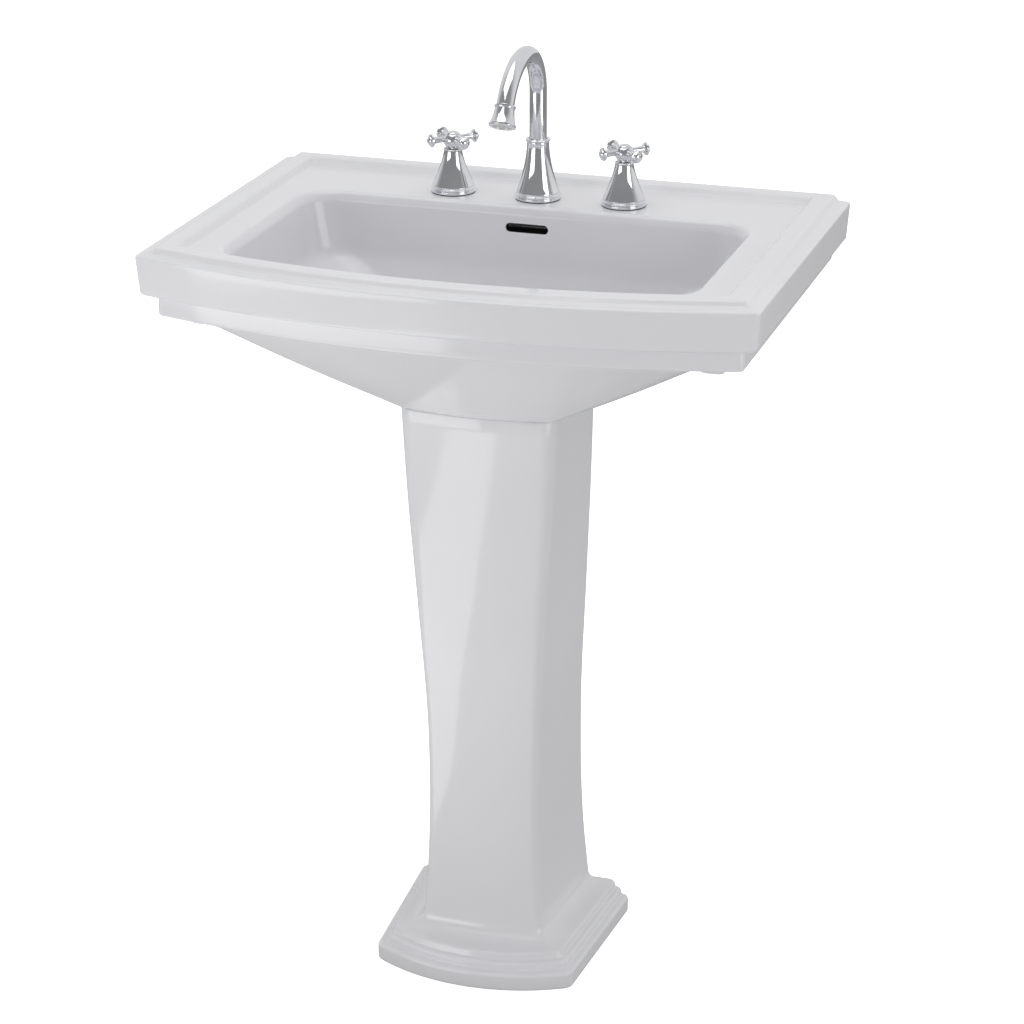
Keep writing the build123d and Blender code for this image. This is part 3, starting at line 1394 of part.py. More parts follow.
for side, x, inward in (("left", -FAUCET_SPREAD / 2, 1), ("right", FAUCET_SPREAD / 2, -1)):
    save(valve_bell(x), f"{side}_bell")
    save(valve_body(x, inward), f"{side}_valve_body")
    # cartridge: a sleeve held down by its own screwed collar
    sleeve = (
        (STEM_BORE_R, VALVE_TOP - RETAINER_H),
        (CAGE_R - FIT, VALVE_TOP - RETAINER_H),
        (CAGE_R - FIT, CAGE_FLOOR + DISC_T),
        (DISC_R + 0.6, CAGE_FLOOR + DISC_T),
        (DISC_R + 0.6, STEM_FOOT + 2.4),
        (STEM_BORE_R, STEM_FOOT + 2.4),
    )
    save(turned(x, sleeve), f"{side}_cartridge")
    # fixed disc with its water slots
    with BuildPart() as fixed_disc:
        with BuildSketch(Plane.XY.offset(DECK_Z + CAGE_FLOOR)):
            with Locations((x, FAUCET_Y)):
                Circle(CAGE_R - FIT)
                with PolarLocations(3.0, 2, start_angle=45):
                    Circle(1.8, mode=Mode.SUBTRACT)
        extrude(amount=DISC_T)
    save(fixed_disc, f"{side}_fixed_disc")
    # moving parts: the disc, the stem that drives it, and the handle
    with BuildPart() as moving_disc:
        with BuildSketch(Plane.XY.offset(DECK_Z + CAGE_FLOOR + DISC_T + FIT)):
            with Locations((x, FAUCET_Y)):
                Circle(DISC_R)
                with PolarLocations(3.0, 2, start_angle=135):
                    Circle(1.8, mode=Mode.SUBTRACT)
        extrude(amount=DISC_T)
    save(moving_disc, f"{side}_moving_disc")
    disc_top = CAGE_FLOOR + 2 * DISC_T + FIT
    spindle = (
        (0, disc_top),
        (DISC_R, disc_top),
        (DISC_R, disc_top + 1.4),
        (STEM_R, disc_top + 1.4),
        (STEM_R, STEM_TOP),
        (SCREW_SHANK_R + FIT, STEM_TOP),
        (SCREW_SHANK_R + FIT, STEM_TOP - SCREW_LEN + 1.6),
        (0, STEM_TOP - SCREW_LEN + 1.6),
    )
    save(turned(x, spindle), f"{side}_stem")
    save(handle_hub(x), f"{side}_hub")
    save(handle_arms(x), f"{side}_arms")
    screw = (
        (0, STEM_TOP - SCREW_LEN + 1.8),
        (SCREW_SHANK_R, STEM_TOP - SCREW_LEN + 1.8),
        (SCREW_SHANK_R, STEM_TOP + 1.6),
        (SCREW_HEAD_R, STEM_TOP + 1.6),
        (SCREW_HEAD_R, STEM_TOP + 1.6 + SCREW_HEAD_H),
        (0, STEM_TOP + 1.6 + SCREW_HEAD_H),
    )
    save(turned(x, screw), f"{side}_handle_screw")
    button_z = HUB_FOOT + HUB_H - BUTTON_H
    with BuildPart() as button:
        with BuildSketch(upright(x, FAUCET_Y, DECK_Z + button_z)):
            with BuildLine():
                Polyline(
                    (0, BUTTON_H),
                    (0, -BUTTON_PLUG),
                    (SCREW_HEAD_R + 0.5, -BUTTON_PLUG),
                    (SCREW_HEAD_R + 0.5, 0),
                    (BUTTON_R, 0),
                )
                ThreePointArc((BUTTON_R, 0), dome_mid(BUTTON_R, BUTTON_H), (0, BUTTON_H))
            make_face()
        revolve(axis=plumb(x, FAUCET_Y))
    save(button, f"{side}_button")
    # rigid copper tube from the valve's side port to the tee
    with BuildPart() as crossover:
        with BuildSketch(Plane.YZ.offset(-inward * (TEE_ARM - PORT_INSERT))):
            with Locations((FAUCET_Y, CROSS_Z)):
                Circle(CROSSOVER_R)
                Circle(CROSSOVER_R - 0.8, mode=Mode.SUBTRACT)
        crossover_length = FAUCET_SPREAD / 2 - VALVE_PORT_REACH + PORT_INSERT - TEE_ARM + PORT_INSERT
        extrude(amount=-inward * crossover_length)
    save(crossover, f"{side}_crossover")
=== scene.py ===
# %% [markdown]
# # A china pedestal sink with a widespread faucet
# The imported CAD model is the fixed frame: it says where every piece is, and which
# pieces move together. This lesson gives it its looks. The china and the chrome are
# rebuilt as smooth surfaces worked out with numpy, and the hidden brass, copper,
# rubber and steel pieces keep their CAD shape and get procedural materials.

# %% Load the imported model
import json
import math
import bpy
import numpy as np
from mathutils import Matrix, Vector


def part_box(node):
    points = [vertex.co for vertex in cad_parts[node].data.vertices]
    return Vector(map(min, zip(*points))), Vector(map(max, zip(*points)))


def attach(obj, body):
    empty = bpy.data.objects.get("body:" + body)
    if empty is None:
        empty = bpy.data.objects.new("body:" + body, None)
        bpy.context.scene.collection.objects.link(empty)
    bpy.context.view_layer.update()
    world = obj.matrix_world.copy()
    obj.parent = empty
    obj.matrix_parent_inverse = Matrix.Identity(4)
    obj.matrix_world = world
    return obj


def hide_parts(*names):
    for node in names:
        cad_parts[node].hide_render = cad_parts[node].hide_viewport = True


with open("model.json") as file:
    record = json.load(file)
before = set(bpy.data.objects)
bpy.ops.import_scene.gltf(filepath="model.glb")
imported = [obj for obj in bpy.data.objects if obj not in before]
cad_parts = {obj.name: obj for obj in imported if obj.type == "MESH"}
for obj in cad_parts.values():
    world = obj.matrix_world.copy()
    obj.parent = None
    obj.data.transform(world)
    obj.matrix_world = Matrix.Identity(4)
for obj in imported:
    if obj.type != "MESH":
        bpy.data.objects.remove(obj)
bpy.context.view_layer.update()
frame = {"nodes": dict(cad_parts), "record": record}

MM = 0.001

# %% [markdown]
# ## Camera
# A long lens from well in front, a little to the right and above the rim, keeps the
# verticals nearly parallel. The camera comes first, so that every later step can be
# judged in the same view.

# %% Place the camera
camera_data = bpy.data.cameras.new("studio_camera")
camera_data.sensor_width = 36.0
camera_data.lens = 108.53
camera = bpy.data.objects.new("studio_camera", camera_data)
bpy.context.scene.collection.objects.link(camera)
aim = Vector((0.01023, 0.02674, 0.53568))
azimuth, elevation, distance = math.radians(17.56), math.radians(20.95), 3.5167
backwards = Vector((
    math.sin(azimuth) * math.cos(elevation),
    -math.cos(azimuth) * math.cos(elevation),
    math.sin(elevation),
))
camera.location = aim + backwards * distance
camera.rotation_mode = "QUATERNION"
camera.rotation_quaternion = (-backwards).to_track_quat("-Z", "Y")
bpy.context.scene.camera = camera
print("camera at", [round(v, 3) for v in camera.location])

# %% [markdown]
# ## Tools for surfaces
# Almost every piece here is a stack of rings. China is drawn with straight runs
# between a few key rings, and glaze softens every edge between them. So one helper
# takes the key rings as rows of numbers, and rounds each corner between the runs
# with a short curve. The rows can then be any rings: the plan of a basin, or the
# circles of a turned piece of chrome.

# %% Round the corners between key rows
def soften(keys, cuts, runs=None, closed=False, steps=6):
    """Rows along a polyline of key rows, with a quadratic Bezier curve at each corner.

    Each corner starts and ends at its cut's distance from the key, or at just under
    half of the shorter run beside it. A run is split into equal steps. Returns the
    rows, and the row that stands at each key.
    """
    keys = np.asarray(keys, float)
    count = len(keys)
    runs = [1] * count if runs is None else runs
    ahead = np.roll(keys, -1, axis=0)
    length = np.maximum(np.abs(ahead - keys).max(axis=1), 1e-9)
    rows, places = [], []
    for i in range(count):
        at_end = not closed and i in (0, count - 1)
        cut = 0.0 if at_end else min(cuts[i], 0.48 * length[i], 0.48 * length[i - 1])
        back = keys[i] + (keys[i - 1] - keys[i]) * cut / length[i - 1]
        front = keys[i] + (ahead[i] - keys[i]) * cut / length[i]
        share = np.linspace(0, 1, steps + 1)[:, None] if cut > 0 else np.zeros((1, 1))
        bend = (1 - share) ** 2 * back + 2 * share * (1 - share) * keys[i] + share**2 * front
        places.append(sum(map(len, rows)) + len(bend) // 2)
        rows.append(bend)
        if closed or i < count - 1:
            j = (i + 1) % count
            stop_cut = 0.0 if (not closed and j == count - 1) else min(
                cuts[j], 0.48 * length[j], 0.48 * length[i]
            )
            stop = keys[j] + (keys[i] - keys[j]) * stop_cut / length[i]
            part = np.arange(1, runs[i])[:, None] / runs[i]
            rows.append(front + (stop - front) * part)
    return np.concatenate(rows), places


# %% Faces of a grid of rings, and a mesh object from closed shells
def grid_faces(rows, columns, close_rows=False):
    """Quads that join each ring of a grid to the next, and each ring to itself."""
    i = np.arange(rows if close_rows else rows - 1)[:, None]
    j = np.arange(columns)[None, :]
    below, beside = (i + 1) % rows, (j + 1) % columns
    corners = (i * columns + j, i * columns + beside, below * columns + beside, below * columns + j)
    return np.stack(np.broadcast_arrays(*corners), axis=-1).reshape(-1, 4)


def facing_out(points, faces):
    """The faces, turned round if the volume they enclose comes out negative."""
    volume = 0.0
    for size in {len(f) for f in faces}:
        same = np.array([f for f in faces if len(f) == size])
        first = points[same[:, 0]]
        for k in range(1, size - 1):
            second, third = points[same[:, k]], points[same[:, k + 1]]
            volume += np.einsum("ij,ij->", first, np.cross(second, third))
    return faces if volume > 0 else [f[::-1] for f in faces]


def make_piece(name, shells, material, body, replaced=(), shade=None):
    """One object from closed shells, each a pair of points in metres and faces."""
    points, faces, start = [], [], 0
    for shell_points, shell_faces in shells:
        turned = facing_out(shell_points, [list(map(int, f)) for f in shell_faces])
        faces += [[v + start for v in f] for f in turned]
        points.append(shell_points)
        start += len(shell_points)
    mesh = bpy.data.meshes.new(name)
    mesh.from_pydata(np.concatenate(points).tolist(), [], faces)
    mesh.polygons.foreach_set("use_smooth", np.ones(len(faces), bool))
    # shade holds a number for each point, and the china material darkens its colour by it: painted shade.
    if shade is not None:
        mesh.attributes.new("depth", "FLOAT", "POINT").data.foreach_set("value", shade.astype(np.float32))
    mesh.materials.append(material)
    mesh.update()
    piece = bpy.data.objects.new(name, mesh)
    bpy.context.scene.collection.objects.link(piece)
    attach(piece, body)
    if replaced:
        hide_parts(*replaced)
    print(f"{name}: {len(mesh.vertices)} points, {len(faces)} faces")
    return piece


# %% Plan outlines with a bowed front
def corner_curve(start, start_way, stop, stop_way, reach, steps):
    """Cubic Bezier corner from start to stop, with handles of length reach along both ways."""
    t = np.linspace(0, 1, steps + 1)[None, 1:-1, None]
    a, d = start[:, None], stop[:, None]
    b = a + start_way[:, None] * reach[:, None, None]
    c = d - stop_way[:, None] * reach[:, None, None]
    return (1 - t) ** 3 * a + 3 * t * (1 - t) ** 2 * b + 3 * t**2 * (1 - t) * c + t**3 * d


def front_and_side(hf, hb, yf, yb, bow, rf, arc_steps, corner_steps):
    """Right half of the front arc and its corner, one line of points for each row.

    The front is an arc through the apex and both front corners. The corner turns
    from the arc's heading to the side's heading, with the radius rf.
    """
    radius = (hf**2 + bow**2) / (2 * bow)
    half_angle = np.arcsin(np.clip(hf / radius, -1, 1))
    side = np.stack([hb - hf, yb - yf], axis=1)
    side_length = np.linalg.norm(side, axis=1)
    side_way = side / side_length[:, None]
    turn = np.arctan2(side_way[:, 1], side_way[:, 0]) - half_angle
    tangent = rf * np.tan(turn / 2)
    last_angle = half_angle - tangent / radius
    angle = last_angle[:, None] * np.linspace(0, 1, arc_steps + 1)[None]
    centre_y = yf + np.sqrt(radius**2 - hf**2)
    arc = np.stack([
        radius[:, None] * np.sin(angle),
        centre_y[:, None] - radius[:, None] * np.cos(angle),
    ], axis=2)
    arc_way = np.stack([np.cos(last_angle), np.sin(last_angle)], axis=1)
    side_start = np.stack([hf, yf], axis=1) + side_way * tangent[:, None]
    reach = 4 / 3 * np.tan(turn / 4) * rf
    corner = corner_curve(arc[:, -1], arc_way, side_start, side_way, reach, corner_steps)
    return arc, corner, side_start, side_way, side_length - tangent


ARC_STEPS, CORNER_STEPS, SIDE_STEPS = 64, 12, 26
BACK_PLACES = np.array(
    [0, 2.5, 5, 7.5, 10, 12.5, 15, 17.5, 20, 21.5, 23, 24.5, 26, 27.5, 30, 33, 36, 40, 46, 54, 64,
     76, 88, 100, 112, 122, 129, 133.5, 136.75, 140, 143.25, 146.5, 151, 158, 168, 180, 194], float)


def closed_plan(rows):
    """Rings of points in plan, anticlockwise from the middle of the front.

    Each row holds the front half width, back half width, front corner y, back y,
    bow, front radius, back radius and height. The ring is the bowed front, a
    rounded corner, a straight side, a rounded back corner and the straight back,
    and then the same mirrored.
    """
    hf, hb, yf, yb, bow, rf, rb, z = rows.T
    arc, corner, side_start, side_way, side_left = front_and_side(
        hf, hb, yf, yb, np.maximum(bow, 0.05), rf, ARC_STEPS, CORNER_STEPS
    )
    back_turn = math.pi - np.arctan2(side_way[:, 1], side_way[:, 0])
    back_tangent = rb * np.tan(back_turn / 2)
    steps = np.linspace(0, 1, SIDE_STEPS + 1)[None, :, None]
    side_run = side_way * (side_left - back_tangent)[:, None]
    side = side_start[:, None] + side_run[:, None] * steps
    back_start = np.stack([hb - back_tangent, yb], axis=1)
    back_way = np.tile([-1.0, 0.0], (len(rows), 1))
    reach = 4 / 3 * np.tan(back_turn / 4) * rb
    back_corner = corner_curve(side[:, -1], side_way, back_start, back_way, reach, CORNER_STEPS)
    fit = np.minimum(1.0, 0.94 * back_start[:, :1] / BACK_PLACES[-1])
    inner = BACK_PLACES[::-1][None] * fit
    outer = back_start[:, :1]
    middle = (inner[:, :1] + outer) / 2
    back_x = np.concatenate([outer, middle, inner], axis=1)
    back = np.stack([back_x, np.repeat(yb[:, None], back_x.shape[1], axis=1)], axis=2)
    half = np.concatenate([arc, corner, side, back_corner, back], axis=1)
    mirrored = half[:, -2:0:-1] * np.array([-1.0, 1.0])
    plan = np.concatenate([half, mirrored], axis=1)
    height = np.repeat(z[:, None, None], plan.shape[1], axis=1)
    return np.concatenate([plan, height], axis=2)


print("plan tools ready,", len(BACK_PLACES), "fixed places along the back")

# %% [markdown]
# ## Turned and swept pieces
# Chrome bells, hubs, arms and rings are turned shapes, so their surface is a profile
# carried round an axis. A mirror finish shows every flat, so the profile's corners
# are softened too and there are many steps round the axis.

# %% Turn a profile round an axis
def turned(profile, origin, axis=(0, 0, 1), steps=96, cuts=0.5, runs=None):
    """Shell of a profile of radius and height in mm, carried round an axis from origin.

    A point is the origin plus height times the axis plus radius times a direction
    that goes round it. A profile that starts or ends on the axis closes in a pole,
    and any other profile closes on itself.
    """
    profile = np.asarray(profile, float)
    poles = profile[0, 0] < 1e-6 and profile[-1, 0] < 1e-6
    cuts = [cuts] * len(profile) if np.isscalar(cuts) else cuts
    rows, _ = soften(profile, cuts, runs, closed=not poles, steps=5)
    way = np.asarray(axis, float) / np.linalg.norm(axis)
    across = np.cross(way, (0, 1, 0) if abs(way[1]) < 0.9 else (1, 0, 0))
    across /= np.linalg.norm(across)
    third = np.cross(way, across)
    angle = np.linspace(0, 2 * math.pi, steps, endpoint=False)
    around = np.cos(angle)[:, None] * across + np.sin(angle)[:, None] * third
    rings = rows[:, 0, None, None] * around[None] + rows[:, 1, None, None] * way
    points = rings * MM + np.asarray(origin, float)
    if not poles:
        return points.reshape(-1, 3), grid_faces(len(rows), steps, close_rows=True)
    return with_poles(points)


def with_poles(rings):
    """Shell from rings whose first and last ones shrink to a point."""
    body = rings[1:-1]
    count, steps = body.shape[:2]
    points = np.concatenate([body.reshape(-1, 3), rings[0].mean(axis=0)[None], rings[-1].mean(axis=0)[None]])
    j = np.arange(steps)
    beside = (j + 1) % steps
    first = np.stack([np.full(steps, count * steps), beside, j], axis=1)
    last_row = (count - 1) * steps
    last = np.stack([np.full(steps, count * steps + 1), last_row + j, last_row + beside], axis=1)
    return points, grid_faces(count, steps).tolist() + first.tolist() + last.tolist()


# %% Sweep a circle along a path in the plane of symmetry
def swept(path, radii, steps=64):
    """Shell of circles along a path of y and z in metres, each square to the path, closed at both ends."""
    path = np.asarray(path, float)
    heading = np.gradient(path, axis=0)
    heading /= np.linalg.norm(heading, axis=1)[:, None]
    angle = np.linspace(0, 2 * math.pi, steps, endpoint=False)
    side_x = np.cos(angle)[None] * radii[:, None]
    lift = np.sin(angle)[None] * radii[:, None]
    y = path[:, 0, None] + lift * -heading[:, 1, None]
    z = path[:, 1, None] + lift * heading[:, 0, None]
    rings = np.stack([side_x, y, z], axis=2)
    ends = [np.repeat(rings[k].mean(axis=0)[None], steps, axis=0)[None] for k in (0, -1)]
    return with_poles(np.concatenate([ends[0], rings, ends[1]]))


print("turning and sweeping tools ready")

# %% [markdown]
# ## Finishes
# A real surface is never quite even. Glazed china has a faint orange-peel ripple and
# slow changes of tone where the glaze ran thicker. Plated and machined metal has fine
# wear that changes its roughness. Each of these effects serves several materials, so
# each is a node group with its own inputs, and the shader stays in the material.

# %% Helper for node groups
def new_group(name, inputs, outputs):
    """An empty shader node group with float inputs (name, value) and float outputs."""
    group = bpy.data.node_groups.new(name, "ShaderNodeTree")
    for label, value in inputs:
        socket = group.interface.new_socket(label, in_out="INPUT", socket_type="NodeSocketFloat")
        socket.default_value = value
    for label in outputs:
        group.interface.new_socket(label, in_out="OUTPUT", socket_type="NodeSocketFloat")
    return group, group.nodes.new("NodeGroupInput"), group.nodes.new("NodeGroupOutput")


def noise(tree, scale, detail=2.0, vector=None):
    """A noise texture node, fed by a vector socket if there is one."""
    node = tree.nodes.new("ShaderNodeTexNoise")
    node.inputs["Scale"].default_value = scale
    node.inputs["Detail"].default_value = detail
    if vector is not None:
        tree.links.new(vector, node.inputs["Vector"])
    return node


def spread(tree, value, low, high):
    """Map Range node that stretches a value in the middle of its range from low to high."""
    node = tree.nodes.new("ShaderNodeMapRange")
    node.inputs["From Min"].default_value = 0.3
    node.inputs["From Max"].default_value = 0.7
    node.inputs["To Min"].default_value = low
    node.inputs["To Max"].default_value = high
    tree.links.new(value, node.inputs["Value"])
    return node


# %% Glaze ripple: slow tone, fine height
glaze_group, glaze_in, glaze_out = new_group(
    "glaze_ripple", [("Ripple Scale", 90.0), ("Tone Scale", 3.0)], ["Height", "Tone"]
)
place = glaze_group.nodes.new("ShaderNodeTexCoord").outputs["Object"]
ripple = noise(glaze_group, 90.0, 1.0, place)
tone = noise(glaze_group, 3.0, 2.0, place)
glaze_group.links.new(glaze_in.outputs["Ripple Scale"], ripple.inputs["Scale"])
glaze_group.links.new(glaze_in.outputs["Tone Scale"], tone.inputs["Scale"])
glaze_group.links.new(ripple.outputs["Fac"], glaze_out.inputs["Height"])
tone_spread = spread(glaze_group, tone.outputs["Fac"], 0.0, 1.0)
glaze_group.links.new(tone_spread.outputs["Result"], glaze_out.inputs["Tone"])
print("glaze_ripple has", len(glaze_group.nodes), "nodes")

# %% Metal wear: smudges, fine lines and a tone
wear_group, wear_in, wear_out = new_group(
    "metal_wear",
    [("Smudge Scale", 18.0), ("Line Scale", 500.0), ("Rough Low", 0.04), ("Rough High", 0.1)],
    ["Roughness", "Height", "Tone"],
)
place = wear_group.nodes.new("ShaderNodeTexCoord").outputs["Object"]
smudge = noise(wear_group, 18.0, 3.0, place)
wear_group.links.new(wear_in.outputs["Smudge Scale"], smudge.inputs["Scale"])
rough = spread(wear_group, smudge.outputs["Fac"], 0.04, 0.1)
wear_group.links.new(wear_in.outputs["Rough Low"], rough.inputs["To Min"])
wear_group.links.new(wear_in.outputs["Rough High"], rough.inputs["To Max"])
wear_group.links.new(rough.outputs["Result"], wear_out.inputs["Roughness"])
stretch = wear_group.nodes.new("ShaderNodeMapping")
stretch.inputs["Scale"].default_value = (1.0, 1.0, 9.0)
wear_group.links.new(place, stretch.inputs["Vector"])
lines = noise(wear_group, 500.0, 1.0, stretch.outputs["Vector"])
wear_group.links.new(wear_in.outputs["Line Scale"], lines.inputs["Scale"])
wear_group.links.new(lines.outputs["Fac"], wear_out.inputs["Height"])
wear_tone = spread(wear_group, smudge.outputs["Fac"], 0.0, 1.0)
wear_group.links.new(wear_tone.outputs["Result"], wear_out.inputs["Tone"])
print("metal_wear has", len(wear_group.nodes), "nodes")


# %% A material around one of the groups
def finish(name, group, light, dark, settings, bump, metallic=0.0, roughness=0.1, coat=0.0, ior=1.5):
    """Principled material whose colour goes from light to dark with the group's tone."""
    material = bpy.data.materials.new(name)
    material.use_nodes = True
    tree = material.node_tree
    shader = tree.nodes["Principled BSDF"]
    shader.inputs["Metallic"].default_value = metallic
    shader.inputs["Roughness"].default_value = roughness
    shader.inputs["Coat Weight"].default_value = coat
    shader.inputs["Coat Roughness"].default_value = 0.03
    shader.inputs["IOR"].default_value = ior
    effect = tree.nodes.new("ShaderNodeGroup")
    effect.node_tree = group
    for label, value in settings.items():
        effect.inputs[label].default_value = value
    colour = tree.nodes.new("ShaderNodeMix")
    colour.data_type = "RGBA"
    colour.inputs["A"].default_value = (*light, 1.0)
    colour.inputs["B"].default_value = (*dark, 1.0)
    tree.links.new(effect.outputs["Tone"], colour.inputs["Factor"])
    tree.links.new(colour.outputs["Result"], shader.inputs["Base Color"])
    if "Roughness" in effect.outputs:
        tree.links.new(effect.outputs["Roughness"], shader.inputs["Roughness"])
    raised = tree.nodes.new("ShaderNodeBump")
    raised.inputs["Distance"].default_value = bump
    raised.inputs["Strength"].default_value = 0.5
    tree.links.new(effect.outputs["Height"], raised.inputs["Height"])
    tree.links.new(raised.outputs["Normal"], shader.inputs["Normal"])
    return material, tree, colour, shader


# %% [markdown]
# ### White glazed china
# Vitreous china is a bluish white body under a thin glass layer. The shader's own
# gloss stands for the glaze. Inside the overflow slot, where little light comes back,
# a number stored on the mesh fades the colour to black: this is painted shade.

# %% China
china, china_tree, china_colour, china_shader = finish(
    "white_china", glaze_group, (0.80, 0.80, 0.82), (0.77, 0.77, 0.795),
    {"Ripple Scale": 60.0, "Tone Scale": 4.0}, bump=0.00005, roughness=0.09, ior=1.52,
)
# Painted shade: the stored number mixes the china's colour to near black inside the overflow slot.
painted_shade_mark = china_tree.nodes.new("ShaderNodeAttribute")
painted_shade_mark.attribute_name = "depth"
painted_shade_mix = china_tree.nodes.new("ShaderNodeMix")
painted_shade_mix.data_type = "RGBA"
painted_shade_mix.inputs["B"].default_value = (0.004, 0.004, 0.004, 1.0)
china_tree.links.new(painted_shade_mark.outputs["Fac"], painted_shade_mix.inputs["Factor"])
china_tree.links.new(china_colour.outputs["Result"], painted_shade_mix.inputs["A"])
china_tree.links.new(painted_shade_mix.outputs["Result"], china_shader.inputs["Base Color"])
print("china ready")

# %% Chrome, brass, copper, steel, rubber, nylon and valve ceramic
chrome = finish("bright_chrome", wear_group, (0.80, 0.81, 0.83), (0.70, 0.71, 0.74),
                {"Smudge Scale": 30.0, "Rough Low": 0.03, "Rough High": 0.075}, 0.000002, 1.0)[0]
brass = finish("cast_brass", wear_group, (0.72, 0.55, 0.27), (0.50, 0.36, 0.15),
               {"Smudge Scale": 70.0, "Rough Low": 0.22, "Rough High": 0.4}, 0.00004, 1.0)[0]
copper = finish("drawn_copper", wear_group, (0.78, 0.44, 0.29), (0.50, 0.25, 0.15),
                {"Smudge Scale": 50.0, "Rough Low": 0.16, "Rough High": 0.36}, 0.00003, 1.0)[0]
steel = finish("stainless_steel", wear_group, (0.62, 0.62, 0.63), (0.46, 0.46, 0.48),
               {"Smudge Scale": 60.0, "Line Scale": 1400.0, "Rough Low": 0.2, "Rough High": 0.38}, 0.00003, 1.0)[0]
rubber = finish("black_rubber", glaze_group, (0.035, 0.035, 0.037), (0.018, 0.018, 0.02),
                {"Ripple Scale": 900.0, "Tone Scale": 40.0}, 0.0001, roughness=0.62)[0]
nylon = finish("white_nylon", glaze_group, (0.76, 0.75, 0.71), (0.66, 0.65, 0.6),
               {"Ripple Scale": 700.0, "Tone Scale": 30.0}, 0.00006, roughness=0.42)[0]
valve_ceramic = finish("valve_ceramic", glaze_group, (0.82, 0.80, 0.75), (0.74, 0.71, 0.65),
                       {"Ripple Scale": 1200.0, "Tone Scale": 60.0}, 0.00003, roughness=0.28)[0]
by_slot = {
    "china_glaze": china, "bright_chrome": chrome, "cast_brass": brass, "copper_tube": copper,
    "black_rubber": rubber, "white_nylon": nylon, "stainless_steel": steel, "valve_ceramic": valve_ceramic,
}
slot_of = {s["node"]: s["material_slot"] for s in frame["record"]["subparts"]}
for node, piece in frame["nodes"].items():
    piece.data.materials.clear()
    piece.data.materials.append(by_slot[slot_of[node]])
print("finishes:", sorted(by_slot))

# %% [markdown]
# ## The basin
# The basin is one hollow casting. Its whole skin is one stack of rings: from the
# drain up over the bowl's floor and wall, over the lip onto the sunk deck, up to the
# raised rim, down over the ledge and both tiers of the slab, round the bottom edge,
# into the hollow under the deck, down the outside of the bowl to the base ring, and
# back up through the drain hole. Each ring is a plan with a bowed front.

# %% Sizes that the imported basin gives
basin_low, basin_high = (np.array(v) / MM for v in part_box("basin"))
HALF_WIDTH, WALL_Y, FRONT_Y = basin_high[0], basin_high[1], basin_low[1]
RIM_Z = basin_high[2]
DECK_Z = RIM_Z - 7.0
BASE_Z = basin_low[2]
BOW = 52.0
BOW_RADIUS = (HALF_WIDTH**2 + BOW**2) / (2 * BOW)
TIER_TOP, TIER_BOTTOM = DECK_Z - 44.8, DECK_Z - 70.0
FLOOR_Z = DECK_Z - 148.0
print("deck", round(DECK_Z, 1), "base", round(BASE_Z, 1), "half width", round(HALF_WIDTH, 1))


# %% Key rings of the slab and of the bowl
def slab(z, inset, back_inset=0.0, corner=6.0, back_corner=2.5):
    """Slab ring moved in by inset, on the same centre of the bow, and by back_inset at the wall."""
    half = HALF_WIDTH - inset
    front = FRONT_Y + BOW_RADIUS - math.sqrt((BOW_RADIUS - inset) ** 2 - half**2)
    return [half, half, front, WALL_Y - back_inset, front - FRONT_Y - inset, corner, back_corner, z]


def bowl(z, half, apex, bow, back, corner):
    """Bowl ring from its half width, the front apex, the bow and the back."""
    return [half, half, apex + bow, back, bow, corner, corner, z]


def outside(z, corner, grow=0.0):
    """Bowl ring on the straight taper from the slab's bottom to the base ring, grown outwards."""
    share = (TIER_BOTTOM - z) / (TIER_BOTTOM - BASE_Z)
    half = 284.0 - 192.0 * share + grow
    apex = -217.0 + 131.0 * share - grow
    back = 125.0 - 47.0 * share
    return bowl(z, half, apex, 32.0 - 19.0 * share, back, corner)


def inside(z, corner, shrink=0.0):
    """Bowl ring 24 mm inside the outside at front, back and foot, and more at the sides near the slab."""
    _, _, front, back, bow, _, _, _ = outside(z, corner)
    half = 248.0 - 180.0 * (TIER_BOTTOM - z) / (TIER_BOTTOM - BASE_Z)
    return bowl(z, half - shrink, front - bow + 24.0 + shrink, bow, back - 24.0 - shrink, corner)


SLOT_Z, SLOT_HALF_W, SLOT_HALF_H = DECK_Z - 25.0, 26.0, 6.0
BOLT_X, BOLT_Z, BOLT_R = 140.0, RIM_Z - 48.0, 6.5
top_ring = inside(TIER_BOTTOM, 46.0)
top_ring[3] = 111.0
mouth_ring = bowl(DECK_Z, 260.8, -199.0, 44.0, 115.0, 38.0)
lip_ring = bowl(DECK_Z, 265.0, -203.0, 44.0, 118.5, 42.0)


def wall_ring(z):
    """Ring of the bowl's wall between the slab's bottom and the mouth."""
    share = (z - TIER_BOTTOM) / (DECK_Z - TIER_BOTTOM)
    return [a + (b - a) * share for a, b in zip(top_ring, mouth_ring)]


print("bowl mouth half width", round(mouth_ring[0], 1))

